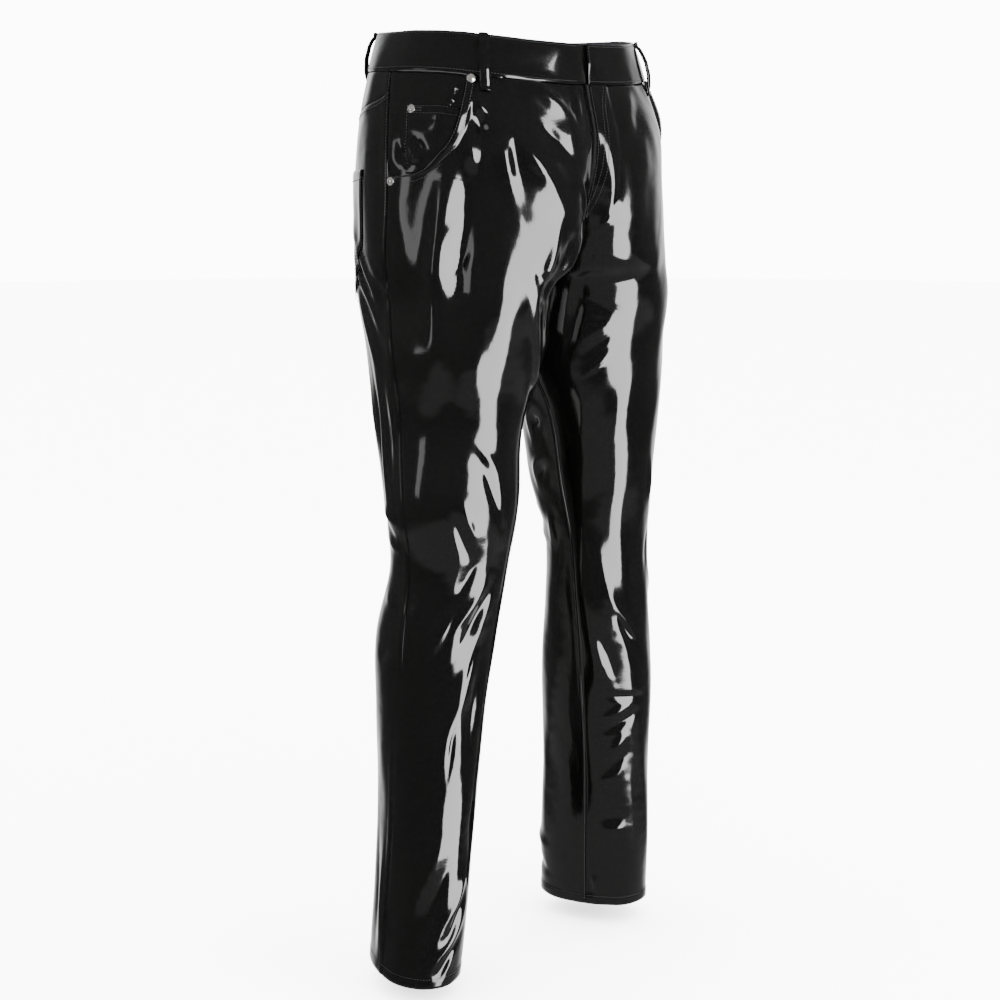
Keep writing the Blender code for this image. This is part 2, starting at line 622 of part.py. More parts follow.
def make_loop(place, pvc, collection):
    """Belt loop: a strip sewn flat at both ends, standing off between them."""
    along = np.array([0.0, LOOP_SEWN, 0.011, 0.019, 0.030, 0.041, 0.049, LOOP_LENGTH - LOOP_SEWN,
                      LOOP_LENGTH])
    free = np.clip((along - LOOP_SEWN) / (LOOP_LENGTH - 2 * LOOP_SEWN), 0.0, 1.0)
    lying = LOOP_CLOTH + LAYER_GAP
    stand = lying + (LOOP_STAND - LOOP_CLOTH) * np.sin(math.pi * free) ** 0.6 + LOOP_EASE * free
    w = place.w_top + (place.w_low - place.w_top) * along / LOOP_LENGTH
    reach = LOOP_WIDTH / 2 / half_length(place.side, BAND_DEPTH / 2, place.w_top < 0)
    normal = outward(place.side, along, w)
    edges = (-reach, 0.0, reach)
    points = np.stack([ring(place.side, along, w + edge) + normal * stand[:, None] for edge in edges], 1)
    strip = Panel(place.side, np.repeat(along[:, None], 3, 1), np.repeat(w[:, None], 3, 1), points,
                  np.repeat(normal[:, None], 3, 1))
    cloth_piece(f"belt_loop_{place.name}", strip, LOOP_CLOTH, pvc, collection)


def make_rivet(name, side, depth, w, metal, collection):
    """Domed rivet head on a panel, turned about the cloth's normal."""
    spot = (np.array([depth]), np.array([w]))
    place = cloth_point(side, *spot, LAYER_GAP)[0]
    normal = Vector(outward(side, *spot)[0])
    profile = bmesh.new()
    corners = [(0.0, 0.0, RIVET_HEIGHT)]
    for step in (1, 2, 3):
        angle = math.pi / 2 * step / 3
        height = RIVET_RIM + (RIVET_HEIGHT - RIVET_RIM) * math.cos(angle)
        corners.append((RIVET_RADIUS * math.sin(angle), 0.0, height))
    corners += [(RIVET_RADIUS, 0.0, 0.0), (0.0, 0.0, 0.0)]
    verts = [profile.verts.new(corner) for corner in corners]
    for first, second in zip(verts, verts[1:]):
        profile.edges.new((first, second))
    mesh = bpy.data.meshes.new(name)
    profile.to_mesh(mesh)
    profile.free()
    obj = add_object(name, mesh, metal, collection)
    turned = obj.modifiers.new("turned", "SCREW")
    turned.steps = 12
    turned.render_steps = 12
    turned.use_merge_vertices = True
    turned.merge_threshold = 0.00001
    turn = normal.to_track_quat("Z", "Y").to_matrix().to_4x4()
    obj.matrix_world = Matrix.Translation(Vector(place)) @ turn


def make_rivets(metal, collection):
    """Two at the ends of each front pocket opening, one on the coin pocket."""
    for side, word in SIDE_NAMES.items():
        length = half_length(side, 0.0495, False)
        top = opening_edge(side, 0.0495) + (RIVET_RADIUS + 0.0003) / length
        make_rivet(f"rivet_pocket_top_{word}", side, 0.0495, top, metal, collection)
        low = side_seam(0.162) + (RIVET_RADIUS + 0.0005) / length
        make_rivet(f"rivet_pocket_low_{word}", side, 0.1625, low, metal, collection)
    make_rivet("rivet_coin_pocket", RIGHT, COIN_TOP + 0.0052, 0.135, metal, collection)


def main():
    for obj in list(bpy.data.objects):
        bpy.data.objects.remove(obj, do_unlink=True)
    collection = bpy.data.collections.new("pvc_trousers")
    bpy.context.scene.collection.children.link(collection)
    pvc = make_material("black_pvc_cloth", (0.012, 0.012, 0.012), 0.12, 0.0)
    metal = make_material("nickel_rivet", (0.66, 0.66, 0.67), 0.22, 1.0)
    fronts, backs = make_panels(pvc, collection)
    make_waistband(pvc, collection)
    for side in SIDE_NAMES:
        make_pocket_facing(fronts[side], pvc, collection)
        make_back_pocket(backs[side], pvc, collection)
    make_coin_pocket(pvc, collection)
    for place in LOOPS:
        make_loop(place, pvc, collection)
    make_rivets(metal, collection)


main()
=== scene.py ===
"""Five-pocket trousers of glossy black pvc cloth, filled out as if worn, with no wearer.

The front faces -Y, the wearer's left is +X and the origin is the middle of the waist.
A place on the cloth is a depth (metres below the waist edge) and w (0 at the side of the
leg, 1 at the inner edge by way of the front, -1 at the inner edge by way of the back).
"""
import math
from collections import namedtuple

import bmesh
import bpy
import numpy as np
from mathutils import Matrix, Vector


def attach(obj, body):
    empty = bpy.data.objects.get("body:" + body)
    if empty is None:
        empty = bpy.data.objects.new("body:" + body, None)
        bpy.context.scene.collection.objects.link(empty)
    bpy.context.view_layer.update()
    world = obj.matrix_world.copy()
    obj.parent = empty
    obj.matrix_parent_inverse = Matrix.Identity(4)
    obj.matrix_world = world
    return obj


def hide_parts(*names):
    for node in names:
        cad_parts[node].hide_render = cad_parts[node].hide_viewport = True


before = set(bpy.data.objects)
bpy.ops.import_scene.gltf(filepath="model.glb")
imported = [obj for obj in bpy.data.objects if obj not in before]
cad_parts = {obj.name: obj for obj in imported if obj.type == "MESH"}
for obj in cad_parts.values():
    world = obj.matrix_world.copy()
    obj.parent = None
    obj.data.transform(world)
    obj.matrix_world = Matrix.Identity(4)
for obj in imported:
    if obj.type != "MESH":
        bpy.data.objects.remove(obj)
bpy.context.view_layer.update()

RIGHT, LEFT = -1, 1
SIDES = {RIGHT: "right", LEFT: "left"}

# ---------------------------------------------------------------- sizes, in metres
CLOTH = 0.0011           # pvc with its knit backing
BAND_CLOTH = 0.0022      # the waistband, two layers
LOOP_CLOTH = 0.0026      # a belt loop, folded and stitched
LAYER = 0.0005           # air between layers that lie on each other
UNDER = CLOTH + LAYER    # one layer down
GRID = 0.0029            # spacing of the cloth's mesh
SEAM_TROUGH = 0.0016     # half the breadth of the trough along a side or yoke seam,
EDGE_TROUGH = 0.0018     # and along an inseam or the waistband's edges

# depths are measured down from the waist edge
OUTSEAM = 1.066
CROTCH = 0.290
BAND_DEPTH = 0.044
BAND_LAP = 0.026         # how far the waistband's right end runs on under its left end
BAND_SWELL = 0.0006      # its swelling between the stitched edges,
BAND_TILT = 0.0026       # how much further its lower edge stands out than its upper one,
BAND_CREASED = 0.6       # and its share of the creases' height
BUTTON_BULGE = 3.2       # the hidden button's bulge, as a multiple of BAND_SWELL,
BUTTON_SPREAD = 0.009    # and half its breadth
HEM_TURN = 0.013
FLY_END = 0.200
FLY_WIDTH = 0.026        # the raised lap beside the middle line
YOKE_SIDE = 0.066        # the yoke seam's depth at the side seam,
YOKE_DROP = 0.046        # how much lower it is at the middle,
YOKE_BEND = 0.65         # and how early it drops
YOKE_FADE = 0.190        # the back's rows are level again this far below the yoke's side

POCKET_END = 0.158
POCKET_GAPE = 0.0075     # how far the opening's edge stands off the hip
FACING_END = 0.176
FACING_UNDER = 0.016     # how far the facing runs on under the front's edge
COIN_TOP = 0.080
COIN_END = 0.154
COIN_OUTER = 0.108       # w of its outer edge at the top,
COIN_SLANT = 0.20        # and how that moves for each metre down
RIVET_RADIUS = 0.0047
RIVET_DEPTH = 0.0495     # of the rivets at the top of the front pockets

LOOP_WIDTH = 0.0115
LOOP_LENGTH = 0.060
LOOP_CUT = 0.066         # its length laid flat
LOOP_STAND = 0.0092      # how far its middle stands off the waistband
LOOP_SEWN = 0.0055       # sewn down at each end
LOOP_CROWN = 0.0022      # how far its long edges bend down
LOOP_RUCK = 0.00018      # height of its small cross wrinkles

STITCH = 0.0026          # one stitch
STITCH_STEP = 0.0034     # from stitch to stitch
THREAD = 0.00045         # half a thread's width
EDGE_ROW = 0.0016        # from an edge to its first row of stitches
SEAM_ROW = 0.0018        # from a seam to the row beside it
SECOND_ROW = 0.0070      # from an edge to its second row

# ---------------------------------------------------------------- the worn form's sections
HipRow = namedtuple("HipRow", "z dip_front dip_back side_x side_y front middle_front "
                    "back middle_back split square")
HIP_ROWS = (
    HipRow(0.000, 0.014, -0.004, 0.155, 0.012, -0.110, -0.110, 0.143, 0.143, 0.00, 0.88),
    HipRow(-0.046, 0.014, -0.004, 0.175, 0.012, -0.112, -0.112, 0.132, 0.132, 0.00, 0.86),
    HipRow(-0.100, 0.015, -0.002, 0.190, 0.012, -0.143, -0.124, 0.140, 0.139, 0.25, 0.86),
    HipRow(-0.160, 0.013, 0.000, 0.196, 0.012, -0.147, -0.115, 0.151, 0.146, 0.50, 0.90),
    HipRow(-0.215, 0.007, 0.002, 0.197, 0.010, -0.143, -0.090, 0.151, 0.130, 0.75, 0.92),
    HipRow(-0.255, 0.003, 0.001, 0.195, 0.008, -0.133, -0.048, 0.141, 0.084, 0.92, 0.92),
    HipRow(-0.290, -0.010, -0.010, 0.190, 0.006, -0.121, 0.012, 0.125, 0.012, 1.00, 0.92),
)
LegRow = namedtuple("LegRow", "z centre_x centre_y half_width front back turn tilt")
LEG_ROWS = {
    RIGHT: (
        LegRow(-0.344, -0.101, -0.005, 0.096, 0.103, 0.104, 0, 0.0),
        LegRow(-0.432, -0.111, -0.005, 0.076, 0.086, 0.089, 3, 0.0),
        LegRow(-0.520, -0.121, -0.019, 0.075, 0.072, 0.076, 6, 0.0),
        LegRow(-0.592, -0.121, -0.014, 0.067, 0.065, 0.065, 9, 0.0),
        LegRow(-0.673, -0.131, -0.003, 0.067, 0.067, 0.071, 12, 0.0),
        LegRow(-0.761, -0.140, -0.002, 0.060, 0.065, 0.070, 15, 0.0),
        LegRow(-0.882, -0.147, -0.001, 0.052, 0.064, 0.070, 18, 0.002),
        LegRow(-0.992, -0.154, 0.003, 0.050, 0.068, 0.073, 20, 0.004),
        LegRow(-OUTSEAM, -0.164, 0.002, 0.048, 0.065, 0.071, 21, 0.006),
    ),
    LEFT: (
        LegRow(-0.344, 0.104, 0.002, 0.095, 0.109, 0.116, 0, 0.0),
        LegRow(-0.432, 0.109, -0.018, 0.077, 0.083, 0.091, 3, 0.0),
        LegRow(-0.520, 0.115, -0.016, 0.067, 0.073, 0.076, 6, 0.0),
        LegRow(-0.592, 0.122, -0.020, 0.064, 0.058, 0.062, 9, 0.0),
        LegRow(-0.673, 0.128, -0.017, 0.060, 0.060, 0.066, 12, 0.0),
        LegRow(-0.761, 0.136, -0.010, 0.059, 0.066, 0.071, 15, 0.0),
        LegRow(-0.882, 0.144, -0.004, 0.052, 0.064, 0.071, 18, 0.0),
        LegRow(-0.992, 0.151, 0.005, 0.049, 0.067, 0.072, 20, 0.0),
        LegRow(-OUTSEAM, 0.158, 0.012, 0.048, 0.066, 0.071, 21, 0.0),
    ),
}
LEG_SQUARE = 0.92

# ---------------------------------------------------------------- seam lines
Knot = namedtuple("Knot", "depth w")
SIDE_SEAM = (
    Knot(0.000, -0.070), Knot(0.076, 0.000), Knot(0.130, 0.028), Knot(0.183, 0.030),
    Knot(0.237, 0.006), Knot(0.290, -0.006), Knot(0.340, -0.003), Knot(0.400, 0.014),
    Knot(0.510, 0.028), Knot(0.600, 0.085), Knot(0.668, 0.138), Knot(0.705, 0.145),
    Knot(0.745, 0.128), Knot(0.800, 0.105), Knot(0.880, 0.088), Knot(1.066, 0.085),
)
# how far the inseam runs forward of the leg's inner edge
INSEAM_SHIFT = (Knot(0.290, 0.0), Knot(0.400, 0.010), Knot(0.600, 0.033), Knot(1.066, 0.035))
POCKET_OPENING = (
    Knot(0.044, 0.365), Knot(0.052, 0.363), Knot(0.071, 0.354), Knot(0.092, 0.340),
    Knot(0.112, 0.315), Knot(0.121, 0.296), Knot(0.132, 0.257), Knot(0.142, 0.223),
    Knot(0.150, 0.185), Knot(0.1545, 0.138), Knot(0.157, 0.083), Knot(0.158, 0.030),
)
BACK_POCKET = (
    Knot(0.150, -0.143), Knot(0.158, -0.655), Knot(0.225, -0.642), Knot(0.280, -0.585),
    Knot(0.302, -0.405), Knot(0.284, -0.237), Knot(0.225, -0.165),
)
BUTTON = Knot(0.022, 0.965)     # hidden under the waistband's lap
J_STITCH = (
    Knot(0.046, 0.885), Knot(0.074, 0.9275), Knot(0.110, 0.9475), Knot(0.141, 0.9525),
    Knot(0.174, 0.965), Knot(0.199, 0.990),
)
POCKET_FOOT_ROWS = np.arange(0.146, 0.160, 0.001)    # close rows round the opening's foot
LoopPlace = namedtuple("LoopPlace", "name side w_top w_low")
LOOPS = (
    LoopPlace("front_right", RIGHT, 0.415, 0.450),
    LoopPlace("front_left", LEFT, 0.430, 0.445),
    LoopPlace("back_right", RIGHT, -0.430, -0.430),
    LoopPlace("back_left", LEFT, -0.430, -0.430),
    LoopPlace("centre_back", RIGHT, -1.0, -1.0),
)

SAMPLES = 361            # points along each half of a section
STEP = 0.001             # a normal is worked out from places this far up and down
SIDE_STEP = 0.012        # and this far apart in w to each side


# ================================================================ the form
def rounded(value, power):
    """A power that keeps the sign: below 1 it squares a section's corners."""
    return np.sign(value) * np.abs(value) ** power


def equal_steps(points):
    """The same curve with its points evenly spaced."""
    lengths = np.linalg.norm(np.diff(points, axis=0), axis=1)
    walked = np.concatenate([[0.0], np.cumsum(lengths)])
    wanted = np.linspace(0.0, walked[-1], SAMPLES)
    return np.stack([np.interp(wanted, walked, points[:, axis]) for axis in range(3)], 1)


def hip_arc(row, side, back):
    """Half of a section above the crotch: one body that splits into two legs further down."""
    t = np.linspace(0.0, 1.0, SAMPLES)
    toward = (1 - np.cos(math.pi * t)) / 2
    if back:
        apex, middle, dip = row.back, row.middle_back, row.dip_back
    else:
        apex, middle, dip = row.front, row.middle_front, row.dip_front
    body_x = row.side_x * np.cos(math.pi * t / 2) ** row.square
    body_y = row.side_y + (middle - row.side_y) * np.sin(math.pi * t / 2) ** row.square
    leg_x = row.side_x * (1 + rounded(np.cos(math.pi * t), LEG_SQUARE)) / 2
    bulge = (apex - (row.side_y + middle) / 2) * np.abs(np.sin(math.pi * t)) ** LEG_SQUARE
    leg_y = row.side_y + (middle - row.side_y) * toward + bulge
    x = body_x + (leg_x - body_x) * row.split
    y = body_y + (leg_y - body_y) * row.split
    return np.stack([side * x, y, row.z - dip * toward], 1)


def leg_arc(row, side, back):
    """Half of a section through one leg, from its outer to its inner edge."""
    t = np.linspace(0.0, 1.0, SAMPLES)
    out = row.half_width * rounded(np.cos(math.pi * t), LEG_SQUARE)
    reach = np.abs(np.sin(math.pi * t)) ** LEG_SQUARE
    fore = (row.back if back else -row.front) * reach
    turn = math.radians(row.turn)
    x = row.centre_x + side * (out * math.cos(turn) - fore * math.sin(turn))
    y = row.centre_y + fore * math.cos(turn) + out * math.sin(turn)
    z = row.z + (row.tilt if back else -row.tilt) * reach
    return np.stack([x, y, z], 1)


def slopes(knots, values):
    """Slope at each knot of the smooth line through the values."""
    steps = np.diff(knots).reshape([-1] + [1] * (values.ndim - 1))
    rises = np.diff(values, axis=0) / steps
    inner = (rises[:-1] * steps[1:] + rises[1:] * steps[:-1]) / (steps[:-1] + steps[1:])
    return np.concatenate([rises[:1], inner, rises[-1:]])


def smooth_between(knots, values, tangents, where):
    """The smooth line itself. values and tangents are looked up by a knot's number."""
    index = np.clip(np.searchsorted(knots, where) - 1, 0, len(knots) - 2)
    step = knots[index + 1] - knots[index]
    t = (where - knots[index]) / step
    start, end = values(index), values(index + 1)
    pull_a, pull_b = tangents(index), tangents(index + 1)
    shape = [-1] + [1] * (start.ndim - 1)
    t, step = t.reshape(shape), step.reshape(shape)
    return ((2 * t ** 3 - 3 * t ** 2 + 1) * start + (t ** 3 - 2 * t ** 2 + t) * step * pull_a
            + (-2 * t ** 3 + 3 * t ** 2) * end + (t ** 3 - t ** 2) * step * pull_b)


def build_form():
    """Sections of each side's front and back, from the waist edge to the hem."""
    form = {}
    for side in SIDES:
        for back in (False, True):
            arcs = [equal_steps(hip_arc(row, side, back)) for row in HIP_ROWS]
            arcs += [equal_steps(leg_arc(row, side, back)) for row in LEG_ROWS[side]]
            depths = np.array([-row.z for row in HIP_ROWS + LEG_ROWS[side]])
            arcs = np.array(arcs)
            form[side, back] = (depths, arcs, slopes(depths, arcs))
    return form


FORM = build_form()


def half_ring(side, back, depth, u):
    """Points on the bare form. u runs from 0 at the side to 1 at the inner edge."""
    depths, arcs, tangents = FORM[side, back]
    place = np.clip(u, 0.0, 1.0) * (SAMPLES - 1)
    low = np.minimum(place.astype(int), SAMPLES - 2)
    part = (place - low)[:, None]

    def pick(table):
        return lambda index: table[index, low] * (1 - part) + table[index, low + 1] * part

    points = smooth_between(depths, pick(arcs), pick(tangents), depth)
    points[:, 0] = side * np.maximum(side * points[:, 0], 0.0)   # not past the middle
    return points


def ring(side, depth, w):
    """Points on the bare form. Past w = 1 or -1 the ring goes on over the middle line into
    the other side above the crotch, and round the same leg below it."""
    depth, w = np.broadcast_arrays(np.asarray(depth, float), np.asarray(w, float))
    shape = depth.shape
    depth, w = depth.ravel(), w.ravel()
    over = np.abs(w) > 1.0
    folded = np.where(over, np.sign(w) * (2.0 - np.abs(w)), w)
    other_side = over & (depth < CROTCH)
    back = (folded < 0) ^ (over & ~other_side)
    points = np.empty((len(w), 3))
    for crossing in (False, True):
        for behind in (False, True):
            chosen = (other_side == crossing) & (back == behind)
            if chosen.any():
                here = -side if crossing else side
                points[chosen] = half_ring(here, behind, depth[chosen], np.abs(folded[chosen]))
    return points.reshape(shape + (3,))


def outward(side, depth, w):
    """Unit normals of the bare form."""
    down = ring(side, depth + STEP, w) - ring(side, depth - STEP, w)
    along = ring(side, depth, w + SIDE_STEP) - ring(side, depth, w - SIDE_STEP)
    normal = np.cross(down, along) * -side
    return normal / np.linalg.norm(normal, axis=-1, keepdims=True)


LENGTH_DEPTHS = np.linspace(0.0, OUTSEAM, 120)


def measure_lengths():
    """Distance along the cloth from w = 0 to 1 or -1, down each half of each side."""
    u = np.linspace(0.0, 1.0, 60)
    found = {}
    for side in SIDES:
        for back in (False, True):
            grid = ring(side, LENGTH_DEPTHS[:, None], (-u if back else u)[None])
            found[side, back] = np.linalg.norm(np.diff(grid, axis=1), axis=2).sum(1)
    return found


LENGTHS = measure_lengths()


def half_length(side, depth, back):
    """Distance along the cloth from w = 0 to 1 or -1."""
    return np.interp(depth, LENGTH_DEPTHS, LENGTHS[side, back])


def span_at(side, depth, w):
    """half_length on the front or the back, wherever w lies."""
    return np.where(np.asarray(w) < 0, half_length(side, depth, True),
                    half_length(side, depth, False))


def across(side, depth, w):
    """Distance round the cloth from w = 0, below 0 on the back."""
    return w * span_at(side, depth, w)


def line_w(seam, depth):
    """w of a seam line at each depth."""
    knots = np.array([knot.depth for knot in seam])
    values = np.array([knot.w for knot in seam])
    tangents = slopes(knots, values)
    depth = np.atleast_1d(depth)
    where = np.clip(depth.ravel(), knots[0], knots[-1])
    found = smooth_between(knots, lambda i: values[i], lambda i: tangents[i], where)
    return found.reshape(depth.shape)


def side_seam(depth):
    """w of the side seam."""
    return line_w(SIDE_SEAM, depth)


def opening_edge(depth):
    """w of the front panel's outer edge: the pocket opening, then the side seam."""
    seam = side_seam(depth)
    return np.where(np.atleast_1d(depth) >= POCKET_END, seam,
                    np.maximum(seam, line_w(POCKET_OPENING, depth)))


def yoke_line(w):
    """Depth of the yoke seam."""
    start = float(side_seam(YOKE_SIDE)[0])
    share = np.clip((start - w) / (start + 1), 0.0, 1.0)
    return YOKE_SIDE + YOKE_DROP * share ** YOKE_BEND


def ease(value, start, end):
    """0 before start, 1 after end, smooth between."""
    t = np.clip((value - start) / (end - start), 0.0, 1.0)
    return t * t * (3 - 2 * t)


def bump(distance, width):
    """1 on a line, falling smoothly to 0 at about twice the width."""
    return np.exp(-(distance / width) ** 2)


def ridge(away, near, far, run_in, run_out):
    """1 from near to far, with a smooth rise before and fall after."""
    return ease(away, near, near + run_in) * (1 - ease(away, far, far + run_out))


def line(a, b, count=60):
    return np.linspace(a, b, count)


